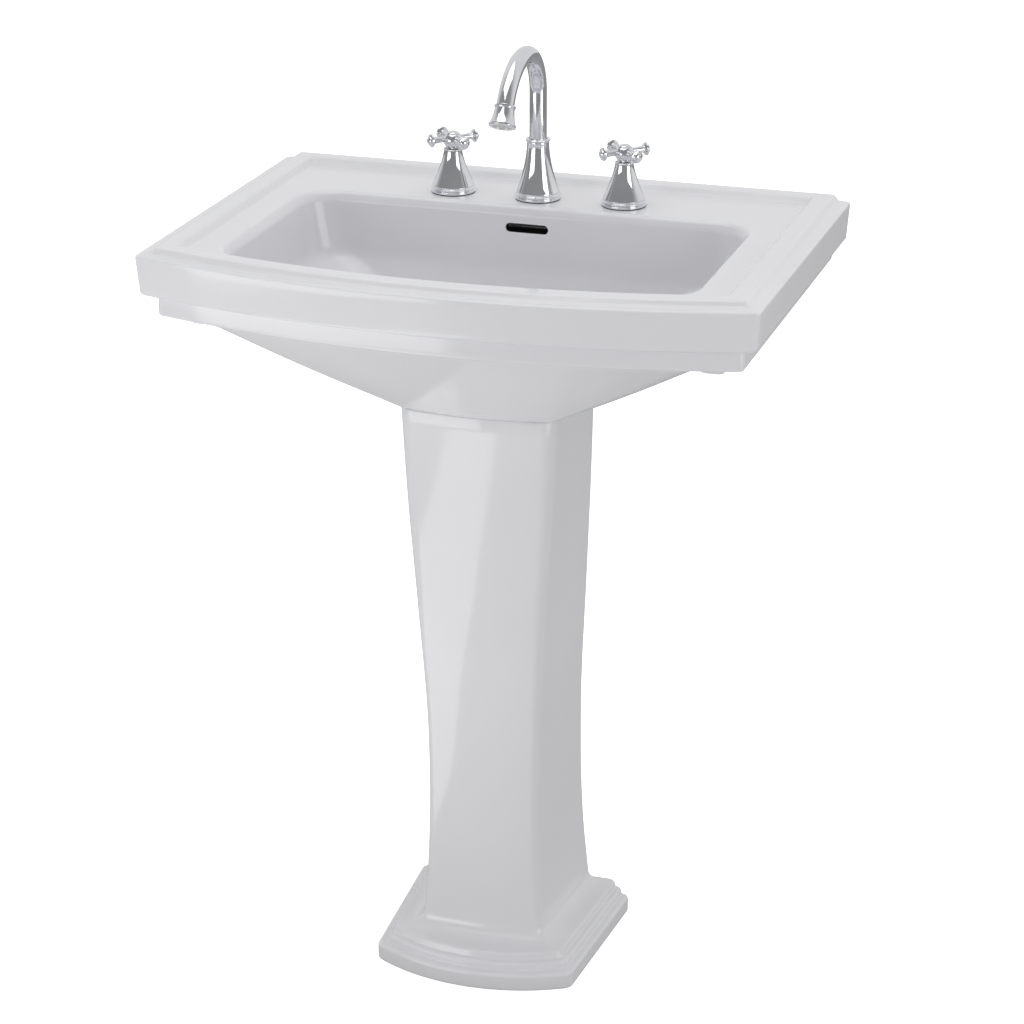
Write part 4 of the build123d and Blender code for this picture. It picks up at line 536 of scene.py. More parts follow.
# %% The stack of key rings, each with its softening and the steps that follow it
floor_ring = inside(FLOOR_Z + 8.0, 38.0, 16.0)
floor_ring[-1] = FLOOR_Z + 0.6
slot_low, slot_high = SLOT_Z - SLOT_HALF_H, SLOT_Z + SLOT_HALF_H
stack = [
    (floor_ring, 9.0, 6),
    (inside(FLOOR_Z + 8.0, 38.0), 12.0, 3),
    (inside(TIER_BOTTOM - 40.0, 46.0), 16.0, 5),
    (top_ring, 10.0, 4),
    (wall_ring(slot_low - 9.0), 0.0, 5),
    (wall_ring(slot_low), 0.0, 8),
    (wall_ring(slot_high), 0.0, 5),
    (wall_ring(slot_high + 9.0), 0.0, 2),
    (lip_ring, 8.0, 8),
    (slab(DECK_Z, 44.2, 26.0, 5.0, 5.0), 3.0, 1),
    (slab(RIM_Z, 38.6, 20.4, 5.0, 5.0), 1.6, 3),
    (slab(RIM_Z, 18.6), 1.6, 1),
    (slab(DECK_Z + 1.6, 14.6), 2.4, 1),
    (slab(DECK_Z, 10.5), 2.0, 2),
    (slab(DECK_Z, 0.0), 3.4, 5),
    (slab(BOLT_Z + BOLT_R, 2.7), 0.0, 2),
    (slab(TIER_TOP, 3.5), 4.5, 1),
    (slab(TIER_TOP, 19.0), 2.0, 1),
    (slab(BOLT_Z - BOLT_R, 19.0), 0.0, 4),
    (slab(TIER_BOTTOM, 19.0), 4.0, 2),
    (slab(TIER_BOTTOM, 35.0, 16.0), 3.0, 4),
    (slab(BOLT_Z - BOLT_R, 35.0, 16.0), 0.0, 16),
    (slab(BOLT_Z + BOLT_R, 35.0, 16.0), 0.0, 4),
    (slab(DECK_Z - 14.0, 35.0, 16.0), 6.0, 4),
    (bowl(DECK_Z - 14.0, 279.0, -216.0, 32.0, 130.5, 40.0), 6.0, 4),
    (outside(TIER_BOTTOM, 40.0), 10.0, 8),
    (outside(TIER_BOTTOM - 58.0, 26.0, 3.0), 50.0, 8),
    (outside(BASE_Z + 9.0, 14.0), 1.0, 2),
    (outside(BASE_Z, 13.0), 2.0, 2),
    (bowl(BASE_Z, 77.0, -71.0, 13.0, 63.0, 8.0), 2.0, 2),
    (bowl(BASE_Z + 7.0, 77.0, -71.0, 13.0, 63.0, 8.0), 1.0, 4),
]
keys = np.array([ring for ring, _, _ in stack], float)
ring_rows, key_rows = soften(keys, [cut for _, cut, _ in stack], [run for _, _, run in stack])
basin_grid = closed_plan(ring_rows)
print("basin grid:", basin_grid.shape)

# %% [markdown]
# ### Where the bowl meets the slab
# Under the front, the outside of the bowl runs straight into the slab, and the hollow
# between them is only at the sides and the back. So the hollow's rows are held outside
# the bowl, and its depth fades to nothing where the gap closes.

# %% Close the hollow at the front
def smooth_step(value):
    """0 below 0, 1 above 1, and 3t squared less 2t cubed between."""
    t = np.clip(value, 0, 1)
    return t * t * (3 - 2 * t)


first, last = key_rows[20] - 3, key_rows[24] + 3
bowl_line = basin_grid[key_rows[25], :, :2]
along = np.roll(bowl_line, -1, axis=0) - np.roll(bowl_line, 1, axis=0)
along /= np.linalg.norm(along, axis=1)[:, None]
outward = np.stack([along[:, 1], -along[:, 0]], axis=1)
slab_gap = basin_grid[key_rows[20], :, :2] - bowl_line
open_share = smooth_step(np.einsum("ij,ij->i", slab_gap, outward) / 9.0 - 0.15)
hollow = basin_grid[first:last]
apart = hollow[:, :, :2] - bowl_line
out_part = np.einsum("rij,ij->ri", apart, outward)
side_part = np.einsum("rij,ij->ri", apart, along)
least = np.linspace(0.4, 0.0, last - first)[:, None]
out_part = np.maximum(out_part, least)
side_part *= open_share
hollow[:, :, :2] = bowl_line + out_part[..., None] * outward + side_part[..., None] * along
hollow[:, :, 2] = TIER_BOTTOM + (hollow[:, :, 2] - TIER_BOTTOM) * open_share
print("open share of the ring:", round(float((open_share > 0.5).mean()), 2))

# %% [markdown]
# ### Overflow duct, slot, bolt holes and drain hole
# The duct is a flat-backed bulge down the back of the bowl. The slot and the two bolt
# holes are cut by leaving out a block of the grid, after its edge has been bent from a
# rectangle to the hole's outline. The drain hole's rings are circles on the same
# columns as the floor's ring, which closes the whole skin.

# %% Bulge of the duct
outside_rows = slice(key_rows[24], key_rows[28] + 1)
back_side = basin_grid[outside_rows]
duct_y = np.interp(back_side[..., 2], [BASE_Z + 7, 711, TIER_BOTTOM, DECK_Z - 11], [99.4, 106.4, 137.0, 130.0])
plain_y = np.interp(back_side[..., 2], [BASE_Z, TIER_BOTTOM, DECK_Z], [78.0, 125.0, 132.0])
in_width = smooth_step((38.0 - np.abs(back_side[..., 0])) / 6.0)
in_height = (back_side[..., 2] > BASE_Z + 6.0) & (back_side[..., 1] > 60.0)
back_side[..., 1] += np.maximum(duct_y - plain_y, 0.0) * in_width * in_height
print("duct stands out by", round(float((duct_y - plain_y).max()), 1), "mm")


# %% Bend a block of the grid to a hole's outline
def bend_to_hole(patch, centre_x, centre_z, flat_half, radius, reach=2.4):
    """Moves grid points near a hole so that its square outline becomes round.

    Beyond the straight part, a point is measured in radii from the hole. A point on
    the square of side two goes to the circle, by x times root(1 - z squared / 2) and
    the same the other way, and the move fades out at reach radii.
    """
    x, z = patch[..., 0] - centre_x, patch[..., 2] - centre_z
    a = np.sign(x) * np.maximum(np.abs(x) - flat_half, 0.0) / radius
    b = z / radius
    size = np.maximum(np.maximum(np.abs(a), np.abs(b)), 1e-6)
    a1, b1 = a / size, b / size
    fade = np.clip((reach - size) / (reach - 1.0), 0, 1)
    patch[..., 0] += (a1 * np.sqrt(1 - b1**2 / 2) - a1) * size * fade * radius
    patch[..., 2] += (b1 * np.sqrt(1 - a1**2 / 2) - b1) * size * fade * radius


def columns_between(row, low_x, high_x):
    """First and last column of a row's back edge whose x lies from high_x down to low_x."""
    line = basin_grid[row]
    found = np.where((line[:, 0] > low_x - 0.01) & (line[:, 0] < high_x + 0.01) & (line[:, 1] > 60))[0]
    return found[0], found[-1]


def block_edge(rows, columns):
    """Grid indices round the edge of a block, rows and columns given in order."""
    edge = [(rows[0], c) for c in columns] + [(r, columns[-1]) for r in rows[1:]]
    edge += [(rows[-1], c) for c in columns[-2::-1]] + [(r, columns[0]) for r in rows[-2:0:-1]]
    return np.array([r * ring_size + c for r, c in edge])


ring_size = basin_grid.shape[1]
centre_row = basin_grid[0]
ring_angle = np.arctan2(centre_row[:, 1], centre_row[:, 0])


def drain_ring(radius, z):
    """Circle about the drain on the floor ring's columns."""
    return np.stack([radius * np.cos(ring_angle), radius * np.sin(ring_angle), np.full(ring_size, z)], axis=1)


before = [drain_ring(22.5, FLOOR_Z - 2.5), drain_ring(31.6, FLOOR_Z - 2.5), drain_ring(32.0, FLOOR_Z - 2.1),
          drain_ring(32.1, FLOOR_Z - 0.7), drain_ring(32.9, FLOOR_Z - 0.05), drain_ring(36.0, FLOOR_Z)]
after = [drain_ring(40.0, BASE_Z + 7.0), drain_ring(23.3, BASE_Z + 7.0), drain_ring(22.5, BASE_Z + 7.8)]
basin_grid = np.concatenate([np.array(before), basin_grid, np.array(after)])
key_rows = [k + len(before) for k in key_rows]
row_count = len(basin_grid)
faces = grid_faces(row_count, ring_size, close_rows=True)
keep = np.ones((row_count, ring_size), bool)

# slot in the bowl's back wall
slot_rows = list(range(key_rows[5], key_rows[6] + 1))
a, b = columns_between(slot_rows[0], -SLOT_HALF_W, SLOT_HALF_W)
slot_columns = list(range(a, b + 1))
wide = columns_between(slot_rows[0], -46.0, 46.0)
patch = basin_grid[key_rows[4]:key_rows[7] + 1, wide[0]:wide[1] + 1]
wall_lean = (patch[-1, 0, 1] - patch[0, 0, 1]) / (patch[-1, 0, 2] - patch[0, 0, 2])
old_z = patch[..., 2].copy()
bend_to_hole(patch, 0.0, SLOT_Z, SLOT_HALF_W - SLOT_HALF_H, SLOT_HALF_H)
patch[..., 1] += (patch[..., 2] - old_z) * wall_lean
keep[slot_rows[0]:slot_rows[-1], a:b] = False
slot_edge = block_edge(slot_rows, slot_columns)

# bolt holes through the back skirt
bolt_edges = []
for x in (BOLT_X, -BOLT_X):
    a, b = columns_between(key_rows[15], x - BOLT_R, x + BOLT_R)
    columns = list(range(a, b + 1))
    near = columns_between(key_rows[15], x - 2 * BOLT_R, x + 2 * BOLT_R)
    pair = []
    for high, low in ((15, 18), (22, 21)):
        rows = sorted((key_rows[high], key_rows[low]))
        patch = basin_grid[rows[0] - 3:rows[1] + 4, near[0]:near[1] + 1]
        bend_to_hole(patch, x, BOLT_Z, 0.0, BOLT_R, 1.9)
        keep[rows[0]:rows[1], a:b] = False
        order = list(range(key_rows[high], key_rows[low] + 1)) or list(range(key_rows[high], key_rows[low] - 1, -1))
        pair.append(block_edge(order, columns))
    bolt_edges.append(pair)
print("bolt edge sizes:", [[len(e) for e in pair] for pair in bolt_edges])

# %% Line the slot, join the bolt holes and add the firing pads
basin_points = [basin_grid.reshape(-1, 3)]
basin_faces = faces[keep.ravel()].tolist()
edge_points = basin_points[0][slot_edge]
spine = np.clip(edge_points[:, 0], -(SLOT_HALF_W - SLOT_HALF_H), SLOT_HALF_W - SLOT_HALF_H)
from_spine = np.stack([edge_points[:, 0] - spine, np.zeros(len(spine)), edge_points[:, 2] - SLOT_Z], axis=1)
slot_depths = [(0.25, 0.05), (0.7, 0.3), (0.9, 0.9), (0.9, 2.2), (0.9, 4.0), (0.9, 13.0)]
previous, start = slot_edge, len(basin_points[0])
for inset, depth in slot_depths:
    ring = edge_points - from_spine * inset / SLOT_HALF_H + np.array([0.0, depth, 0.0])
    current = np.arange(len(slot_edge)) + start
    basin_faces += np.stack([previous, np.roll(previous, -1), np.roll(current, -1), current], axis=1).tolist()
    basin_points.append(ring)
    previous, start = current, start + len(ring)
basin_faces.append(previous[::1].tolist())
for outer_edge, inner_edge in bolt_edges:
    basin_faces += np.stack(
        [outer_edge, np.roll(outer_edge, -1), np.roll(inner_edge, -1), inner_edge], axis=1
    ).tolist()
skin = np.concatenate(basin_points)
# Painted shade on the slot's lining: the last two rings are stored as fully dark, and the ring before them as 0.8.
slot_painted_shade = np.zeros(len(skin))
slot_painted_shade[-2 * len(slot_edge):] = 1.0
slot_painted_shade[-3 * len(slot_edge):-2 * len(slot_edge)] = 0.8
pad_keys = [[9.0, 9.0, -18.0, 18.0, 0.05, 5.0, 5.0, TIER_BOTTOM - 13.0],
            [13.0, 13.0, -22.0, 22.0, 0.05, 7.0, 7.0, TIER_BOTTOM - 13.0],
            [13.0, 13.0, -22.0, 22.0, 0.05, 7.0, 7.0, TIER_BOTTOM + 30.0]]
pad_rows, _ = soften(pad_keys, [0, 3.0, 0])
pad_grid = closed_plan(pad_rows)[:, ::2]
shells = [(skin * MM, basin_faces)]
for side in (-284.0, 284.0):
    shells.append(tuple(with_poles(np.concatenate([pad_grid[:1], pad_grid, pad_grid[-1:]]) + [side, -137.0, 0.0])))
    shells[-1] = (shells[-1][0] * MM, shells[-1][1])
slot_painted_shade = np.concatenate([slot_painted_shade] + [np.zeros(len(p)) for p, _ in shells[1:]])
basin = make_piece("china_basin", shells, china, "root", ["basin"], slot_painted_shade)

# %% [markdown]
# ## The pedestal
# The pedestal is a hollow column that is open at the back, on a moulded foot. Its
# section is one closed line: round the outside from the bowed front to the back edge,
# across the wall's thickness, and back along the inside. The levels of the column
# follow a smooth curve, and the foot's steps are softened like the slab's edges.

# %% Section of the open column
END_STEPS = 6


def open_section(rows):
    """Rings of a C-shaped section in plan, from the middle of the front.

    Each row holds the outside's eight numbers, as in a closed plan, and then the
    inside's front half width, back half width, front corner y, bow and radius.
    """
    hf, hb, yf, yb, bow, rf, rb, z = rows[:, :8].T
    jf, jb, gf, inner_bow, jr = rows[:, 8:].T
    lines = []
    for half, back_half, front, curve, radius, back_cut in (
        (hf, hb, yf, bow, rf, rb),
        (jf, jb, gf, inner_bow, jr, np.minimum(rb, 3.0)),
    ):
        arc, corner, side_start, side_way, side_left = front_and_side(
            half, back_half, front, yb, curve, radius, 40, 16
        )
        steps = np.linspace(0, 1, 23)[None, 1:, None]
        run = side_way * (side_left - back_cut)[:, None]
        side = side_start[:, None] + run[:, None] * np.concatenate([[[[0.0]]], steps], axis=1)[0][None]
        lines.append((np.concatenate([arc, corner, side], axis=1), side_way, back_cut))
    (outer, outer_way, outer_cut), (inner, inner_way, inner_cut) = lines
    left = np.tile([-1.0, 0.0], (len(rows), 1))
    outer_end = np.stack([hb - outer_cut, yb], axis=1)
    inner_end = np.stack([jb + inner_cut, yb], axis=1)
    outer_corner = corner_curve(outer[:, -1], outer_way, outer_end, left, outer_cut * 0.55, END_STEPS)
    inner_corner = corner_curve(inner_end, left, inner[:, -1], -inner_way, inner_cut * 0.55, END_STEPS)
    end = np.concatenate([outer_corner, outer_end[:, None], inner_end[:, None], inner_corner], axis=1)
    half = np.concatenate([outer, end, inner[:, ::-1]], axis=1)
    mirrored = half[:, -2:0:-1] * np.array([-1.0, 1.0])
    plan = np.concatenate([half, mirrored], axis=1)
    height = np.repeat(z[:, None, None], plan.shape[1], axis=1)
    return np.concatenate([plan, height], axis=2), outer.shape[1], end.shape[1]


# %% Levels of the column and steps of the foot
pedestal_low, pedestal_high = (np.array(v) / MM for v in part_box("pedestal"))
FOOT_TOP, COLUMN_TOP = 56.0, pedestal_high[2]
WALL = 13.0
levels = np.array([
    [0.00, 72.0, 85.0, 59.0, 100.0, 12.0],
    [0.10, 67.5, 79.0, 58.0, 99.0, 12.0],
    [0.36, 66.0, 75.0, 57.0, 97.0, 12.0],
    [0.62, 75.0, 81.0, 66.0, 95.0, 15.0],
    [0.82, 84.0, 86.0, 72.0, 92.0, 18.0],
    [1.00, 90.0, 89.0, 76.0, 90.0, 20.0],
])


def column_ring(share):
    """Section of the column at a share of its height, on a smooth curve through the levels."""
    slopes = np.gradient(levels[:, 1:], levels[:, 0], axis=0)
    k = min(np.searchsorted(levels[:, 0], share, side="right"), len(levels) - 1)
    low, high = levels[k - 1, 0], levels[k, 0]
    span = high - low
    t = (share - low) / span
    curve = (
        (2 * t**3 - 3 * t**2 + 1) * levels[k - 1, 1:]
        + (t**3 - 2 * t**2 + t) * span * slopes[k - 1]
        + (3 * t**2 - 2 * t**3) * levels[k, 1:]
        + (t**3 - t**2) * span * slopes[k]
    )
    front, back, ahead, behind, corner = curve
    z = FOOT_TOP + share * (COLUMN_TOP - FOOT_TOP)
    return [front, back, -ahead, behind, 8.0, corner, 4.0, z,
            front - WALL, back - WALL, -ahead + WALL, 8.0, 5.0]


def foot_ring(z, inset):
    """Section of the foot moved in by inset, round the column's own hollow."""
    half = 119.0 - inset
    bottom = column_ring(0.0)
    return [half, 132.0 - inset, -91.0 + inset, 115.0, 34.0 * half / 119.0, 14.0, 7.0, z, *bottom[8:]]


foot = [
    (foot_ring(0.0, 3.0), 0.0, 1),
    (foot_ring(1.2, 0.6), 1.5, 1),
    (foot_ring(4.0, 0.0), 1.5, 3),
    (foot_ring(21.0, 0.0), 6.5, 1),
    (foot_ring(21.6, 8.0), 1.6, 1),
    (foot_ring(30.0, 9.0), 4.0, 1),
    (foot_ring(30.4, 15.5), 1.2, 1),
    (foot_ring(38.0, 17.0), 3.5, 1),
    (foot_ring(38.6, 21.5), 1.6, 1),
]
foot_inner = column_ring(0.0)
cove = []
for t in np.linspace(0.18, 1.0, 7):
    base, top = np.array(foot_ring(38.6, 21.5)), np.array(foot_inner)
    rise, run = 1 - math.cos(t * math.pi / 2), math.sin(t * math.pi / 2)
    ring = base + (top - base) * run
    ring[7] = base[7] + (top[7] - base[7]) * rise
    cove.append((ring.tolist(), 0.0, 1))
shaft = [(column_ring(s), 0.0, 1) for s in np.linspace(0.03, 0.996, 40)]
rim = list(column_ring(1.0))
rim[:4] = [rim[0] - 1.2, rim[1] - 1.2, rim[2] + 1.2, rim[3]]
pedestal_stack = foot + cove + shaft + [(rim, 0.0, 1)]
section_rows, _ = soften(
    [ring for ring, _, _ in pedestal_stack],
    [cut for _, cut, _ in pedestal_stack],
    [run for _, _, run in pedestal_stack],
)
column_grid, side_count, end_count = open_section(section_rows)
print("pedestal grid:", column_grid.shape)


# %% Close the column's top and bottom, and add the web for the floor bolt
def section_cap(row, size):
    """Faces across the wall of one C-shaped ring: strips from outside to inside, and the two ends."""
    half = size // 2 + 1
    outer = np.arange(side_count)
    inner = half - 1 - outer
    base = row * size
    right = np.stack([outer[:-1], outer[1:], inner[1:], inner[:-1]], axis=1)
    end = list(range(side_count - 1, side_count + end_count + 1))
    left = (size - right) % size
    left_end = [(size - v) % size for v in end]
    strips = right.tolist() + left[:, ::-1].tolist() + [end, left_end[::-1]]
    return [[base + v for v in f] for f in strips]


size = column_grid.shape[1]
column_faces = grid_faces(len(column_grid), size).tolist()
top_cap = section_cap(len(column_grid) - 1, size)
bottom_cap = [f[::-1] for f in section_cap(0, size)]
web_keys = [[63.0, 63.0, 30.5, 73.5, 0.05, 1.0, 1.0, 0.4], [63.0, 63.0, 30.0, 74.0, 0.05, 1.0, 1.0, 1.2],
            [63.0, 63.0, 30.0, 74.0, 0.05, 1.0, 1.0, 14.6], [63.0, 63.0, 31.2, 72.8, 0.05, 1.0, 1.0, 16.0]]
web_grid = closed_plan(np.array(web_keys))[:, ::2]
web_angle = np.arctan2(web_grid[0, :, 1] - 52.0, web_grid[0, :, 0])
holes = [np.stack([r * np.cos(web_angle), 52.0 + r * np.sin(web_angle), np.full(len(web_angle), z)], axis=1)
         for r, z in ((6.8, 16.0), (6.0, 15.2), (6.0, 0.4))]
web_all = np.concatenate([web_grid, np.array(holes)])
pedestal = make_piece(
    "china_pedestal",
    [(column_grid.reshape(-1, 3) * MM, column_faces + top_cap + bottom_cap),
     (web_all.reshape(-1, 3) * MM, grid_faces(len(web_all), web_all.shape[1], close_rows=True))],
    china, "root", ["pedestal"],
)

# %% [markdown]
# ## The faucet
# Mirror chrome shows every flat, so each visible piece of the faucet is turned or swept
# again with many more steps than its CAD solid has. The bells flare as a power of the
# height that is left to their top, and every edge has a small radius.

# %% Frame of the faucet
FAUCET_Y, FAUCET_HALF = 157.0, 101.6
spout_foot = np.array([0.0, FAUCET_Y, DECK_Z]) * MM
bodies = frame["record"]["behaviour"]["bodies"]
body_of = {node: body for body, nodes in bodies.items() for node in nodes}
print("faucet stands at", spout_foot, "on", DECK_Z, "mm")


# %% Bells
def bell(base_r, base_top, top_r, top_z, power, bore):
    """Closed profile of a flared bell on a beaded base, with a stepped bore up its middle.

    Above the base, the radius is the top radius plus the rest of the flare times
    the share of the height that is left, raised to the power.
    """
    base = [(base_r, 1.0), (base_r, 3.3), (base_r - 1.2, 3.8), (base_r - 0.4, 4.8),
            (base_r - 0.4, 6.3), (base_r - 2.0, 7.1)]
    left = np.linspace(1.0, 0.0, 30)
    flare = base_r - 1.6 - top_r
    wall = np.stack([top_r + flare * left**power, top_z - (top_z - base_top) * left], axis=1)
    profile = np.concatenate([base, wall, bore])
    cuts = [0.5] * len(base) + [0.2] * len(wall) + [0.5] * len(bore)
    return profile, cuts


spout_profile, spout_cuts = bell(26.0, 9.0, 12.5, 66.5, 1.8, [
    (10.8, 66.5), (10.8, 62.5), (13.0, 44.0), (13.0, 26.0), (20.4, 8.0), (20.4, 1.0)])
make_piece("chrome_spout_bell", [turned(spout_profile, spout_foot, steps=160, cuts=spout_cuts)],
           chrome, "root", ["spout_bell"])
valve_profile, valve_cuts = bell(25.5, 8.6, 10.6, 48.0, 1.4, [
    (5.0, 48.0), (5.0, 45.0), (8.0, 42.0), (9.0, 27.0), (20.4, 8.0), (20.4, 1.0)])
for side, x in (("left", -FAUCET_HALF), ("right", FAUCET_HALF)):
    foot = spout_foot + np.array([x, 0.0, 0.0]) * MM
    make_piece(f"chrome_{side}_bell", [turned(valve_profile, foot, steps=160, cuts=valve_cuts)],
               chrome, "root", [f"{side}_bell"])

# %% Collar under the gooseneck and rings under the hubs
collar_profile = [(10.5, 66.5), (12.9, 66.5), (14.0, 67.5), (14.0, 69.1), (12.9, 70.0), (10.5, 70.0)]
make_piece("chrome_spout_collar", [turned(collar_profile, spout_foot, steps=128)],
           chrome, "root", ["spout_collar"])
neck_profile = [(5.0, 48.0), (10.1, 48.0), (11.0, 48.9), (11.0, 49.8), (10.1, 50.6), (5.0, 50.6)]
necks = [turned(neck_profile, spout_foot + np.array([x, 0.0, 0.0]) * MM, steps=96)
         for x in (-FAUCET_HALF, FAUCET_HALF)]
make_piece("chrome_neck_rings", necks, chrome, "root", ["neck_rings"])

# %% Handles: hub, four arms and the button on top
HUB_FOOT, HUB_TOP, ARM_Z, ARM_TIP = 51.2, 67.4, 62.0, 32.2
swell = np.sin(np.linspace(0.0, math.pi, 14)) ** 0.8
hub_wall = np.stack([8.0 + 3.1 * swell, np.linspace(HUB_FOOT + 1.4, HUB_TOP, 14)], axis=1)
hub_profile = np.concatenate([
    [(4.2, HUB_FOOT), (7.5, HUB_FOOT)], hub_wall,
    [(4.2, HUB_TOP), (4.2, 64.0), (2.6, 64.0), (2.6, 62.2), (4.2, 62.2)]])
arm_profile = [(0.0, 8.3), (3.2, 8.3), (3.2, 13.0), (4.0, 24.2), (6.8, 26.0), (7.6, 26.7), (7.6, 28.0),
               (6.6, 28.7), (5.2, 28.9), (4.6, 30.5), (2.6, 31.7), (0.0, ARM_TIP)]
arm_cuts = [0, 0.4, 2.0, 0.6, 0.3, 0.4, 0.4, 0.3, 0.3, 0.8, 0.8, 0]
dome = np.linspace(0.0, math.pi / 2, 12)
button_profile = np.concatenate([
    [(0.0, -0.9), (4.1, -0.9), (4.1, 0.0), (6.9, 0.0)],
    np.stack([7.2 * np.cos(dome), 0.2 + 3.0 * np.sin(dome)], axis=1)])
button_profile[-1, 0] = 0.0
for side, x in (("left", -FAUCET_HALF), ("right", FAUCET_HALF)):
    foot = spout_foot + np.array([x, 0.0, 0.0]) * MM
    make_piece(f"chrome_{side}_hub", [turned(hub_profile, foot, steps=96, cuts=0.3)],
               chrome, body_of[f"{side}_hub"], [f"{side}_hub"])
    arms = []
    for turn in np.radians([45.0, 135.0, 225.0, 315.0]):
        out = (math.cos(turn), math.sin(turn), 0.0)
        arms.append(turned(arm_profile, foot + [0, 0, ARM_Z * MM], out, 48, arm_cuts))
    make_piece(f"chrome_{side}_arms", arms, chrome, body_of[f"{side}_arms"], [f"{side}_arms"])
    make_piece(f"chrome_{side}_button", [turned(button_profile, foot + [0, 0, HUB_TOP * MM], steps=64, cuts=0.2)],
               chrome, body_of[f"{side}_button"], [f"{side}_button"])

# %% Gooseneck: a straight rise, a tight bend to the crest and a wide falling bend
TUBE_R, RISE, RISE_BEND, DROP_BEND = 9.85, 122.7, 52.8, 79.2
drop_turn = math.radians(61.0)
crest = np.array([FAUCET_Y - RISE_BEND, DECK_Z + RISE + RISE_BEND])
up = np.stack([np.full(40, FAUCET_Y), DECK_Z + np.linspace(14.0, RISE, 40)], axis=1)
around = np.linspace(0.0, math.pi / 2, 49)[1:]
rise = np.stack([crest[0] + RISE_BEND * np.cos(around), crest[1] - RISE_BEND * (1 - np.sin(around))], axis=1)
along_drop = np.linspace(0.0, drop_turn, 49)[1:]
fall = np.stack([crest[0] - DROP_BEND * np.sin(along_drop),
                 crest[1] - DROP_BEND * (1 - np.cos(along_drop))], axis=1)
outlet_way = np.array([-math.cos(drop_turn), -math.sin(drop_turn)])
spigot = fall[-1] + np.linspace(0.0, 7.8, 6)[1:, None] * outlet_way
path = np.concatenate([up, rise, fall, spigot])
make_piece("chrome_gooseneck", [swept(path * MM, np.full(len(path), TUBE_R * MM), 128)],
           chrome, body_of["gooseneck"], ["gooseneck"])

# %% Aerator housing on the outlet's axis
outlet = np.array([0.0, fall[-1, 0], fall[-1, 1]]) * MM
housing_profile = [(9.9, 0.0), (11.75, 0.0), (11.75, 2.6), (10.75, 3.4), (12.2, 14.0), (14.4, 20.6),
                   (15.2, 21.6), (15.2, 23.4), (14.6, 24.0), (9.65, 24.0), (9.65, 14.0), (8.4, 14.0),
                   (8.4, 8.0), (9.9, 8.0)]
housing_cuts = [0.3, 0.6, 0.6, 0.8, 4.0, 1.0, 0.5, 0.5, 0.4, 0.4, 0.2, 0.2, 0.2, 0.2]
make_piece("chrome_aerator_housing",
           [turned(housing_profile, outlet, (0.0, *outlet_way), 128, housing_cuts)],
           chrome, body_of["aerator_housing"], ["aerator_housing"])

# %% Lift knob behind the spout
knob_low, knob_high = (np.array(v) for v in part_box("lift_knob"))
knob_foot = np.array([(knob_low[0] + knob_high[0]) / 2, (knob_low[1] + knob_high[1]) / 2, knob_low[2]])
bulge = np.sin(np.linspace(0.0, math.pi / 2, 12))
knob_profile = [(0.0, 6.0), (2.45, 6.0), (2.45, 0.0), (3.6, 0.0), (3.1, 3.6), (6.2, 7.4), (7.0, 9.4),
                (6.4, 11.6), (4.4, 13.8), (2.0, 14.8), (0.0, 15.0)]
make_piece("chrome_lift_knob",
           [turned(knob_profile, knob_foot, steps=64, cuts=[0, 0.1, 0.2, 0.4, 1.2, 1.4, 1.2, 1.4, 1.2, 0.8, 0])],
           chrome, body_of["lift_knob"], ["lift_knob"])

# %% [markdown]
# ## Studio
# A pale floor and a white surrounding. China shows its shape by the edge of a soft
# light in its glaze, so a tall bright card stands at the left front, out of the
# camera's view. The surrounding is bright behind the object and dimmer in front of it,
# so that the china's front is a soft grey against white and chrome has dark edges.

# %% Floor
floor_material = bpy.data.materials.new("studio_floor")
floor_material.use_nodes = True
floor_shader = floor_material.node_tree.nodes["Principled BSDF"]
floor_shader.inputs["Base Color"].default_value = (0.5, 0.5, 0.5, 1.0)
floor_shader.inputs["Roughness"].default_value = 0.9
floor_shader.inputs["Emission Color"].default_value = (1.0, 1.0, 1.0, 1.0)
floor_seen = floor_material.node_tree.nodes.new("ShaderNodeLightPath")
floor_material.node_tree.links.new(floor_seen.outputs["Is Camera Ray"], floor_shader.inputs["Emission Strength"])
floor_mesh = bpy.data.meshes.new("studio_floor")
floor_mesh.from_pydata([(-14, -14, 0), (14, -14, 0), (14, 14, 0), (-14, 14, 0)], [], [(0, 1, 2, 3)])
floor_mesh.materials.append(floor_material)
floor = bpy.data.objects.new("studio_floor", floor_mesh)
bpy.context.scene.collection.objects.link(floor)


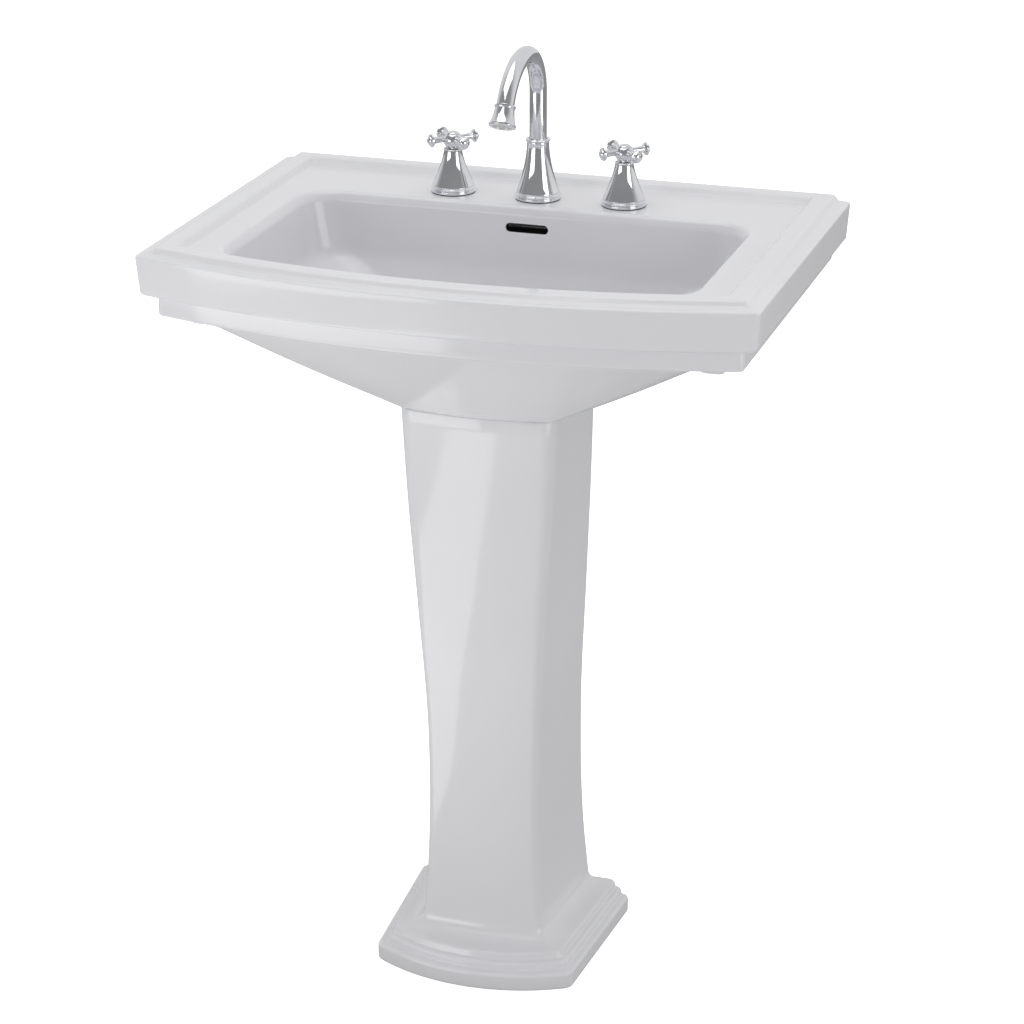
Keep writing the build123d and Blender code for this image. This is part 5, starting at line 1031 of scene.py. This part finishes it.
# %% Soft lights
def soft_light(name, place, target, size_x, size_y, power, shape="RECTANGLE"):
    """Area light at place, turned to face target."""
    data = bpy.data.lights.new(name, "AREA")
    data.shape, data.size, data.size_y, data.energy = shape, size_x, size_y, power
    light = bpy.data.objects.new(name, data)
    bpy.context.scene.collection.objects.link(light)
    light.location = place
    light.rotation_mode = "QUATERNION"
    light.rotation_quaternion = (Vector(target) - Vector(place)).to_track_quat("-Z", "Y")
    return light


soft_light("key_card", (-1.15, -1.75, 0.7), (0.0, -0.1, 0.7), 1.4, 1.3, 14.0)
soft_light("floor_card", (-0.5, -1.0, 0.02), (-0.5, -1.0, 1.0), 0.42, 1.5, 3.6)
soft_light("top_light", (-0.2, -0.3, 3.0), (0.0, 0.0, 0.8), 2.0, 2.0, 20.0)
soft_light("right_fill", (2.2, -0.9, 0.9), (0.0, 0.0, 0.6), 1.2, 1.8, 16.0)

# %% Surrounding: bright behind and above, dim in front
world = bpy.data.worlds.new("studio_surrounding")
bpy.context.scene.world = world
world.use_nodes = True
sky = world.node_tree
direction = sky.nodes.new("ShaderNodeTexCoord")
parts = sky.nodes.new("ShaderNodeSeparateXYZ")
sky.links.new(direction.outputs["Generated"], parts.inputs[0])
fall_off = sky.nodes.new("ShaderNodeMapRange")
fall_off.interpolation_type = "SMOOTHSTEP"
fall_off.inputs["From Min"].default_value = -0.35
fall_off.inputs["From Max"].default_value = 0.45
fall_off.inputs["To Min"].default_value = 0.3
fall_off.inputs["To Max"].default_value = 0.8
sky.links.new(parts.outputs["Y"], fall_off.inputs["Value"])
seen = sky.nodes.new("ShaderNodeLightPath")
strength = sky.nodes.new("ShaderNodeMix")
strength.inputs["B"].default_value = 1.0
sky.links.new(seen.outputs["Is Camera Ray"], strength.inputs["Factor"])
sky.links.new(fall_off.outputs["Result"], strength.inputs["A"])
background = sky.nodes["Background"]
background.inputs["Color"].default_value = (1.0, 1.0, 1.0, 1.0)
sky.links.new(strength.outputs["Result"], background.inputs["Strength"])
bpy.context.scene.view_settings.view_transform = "Standard"
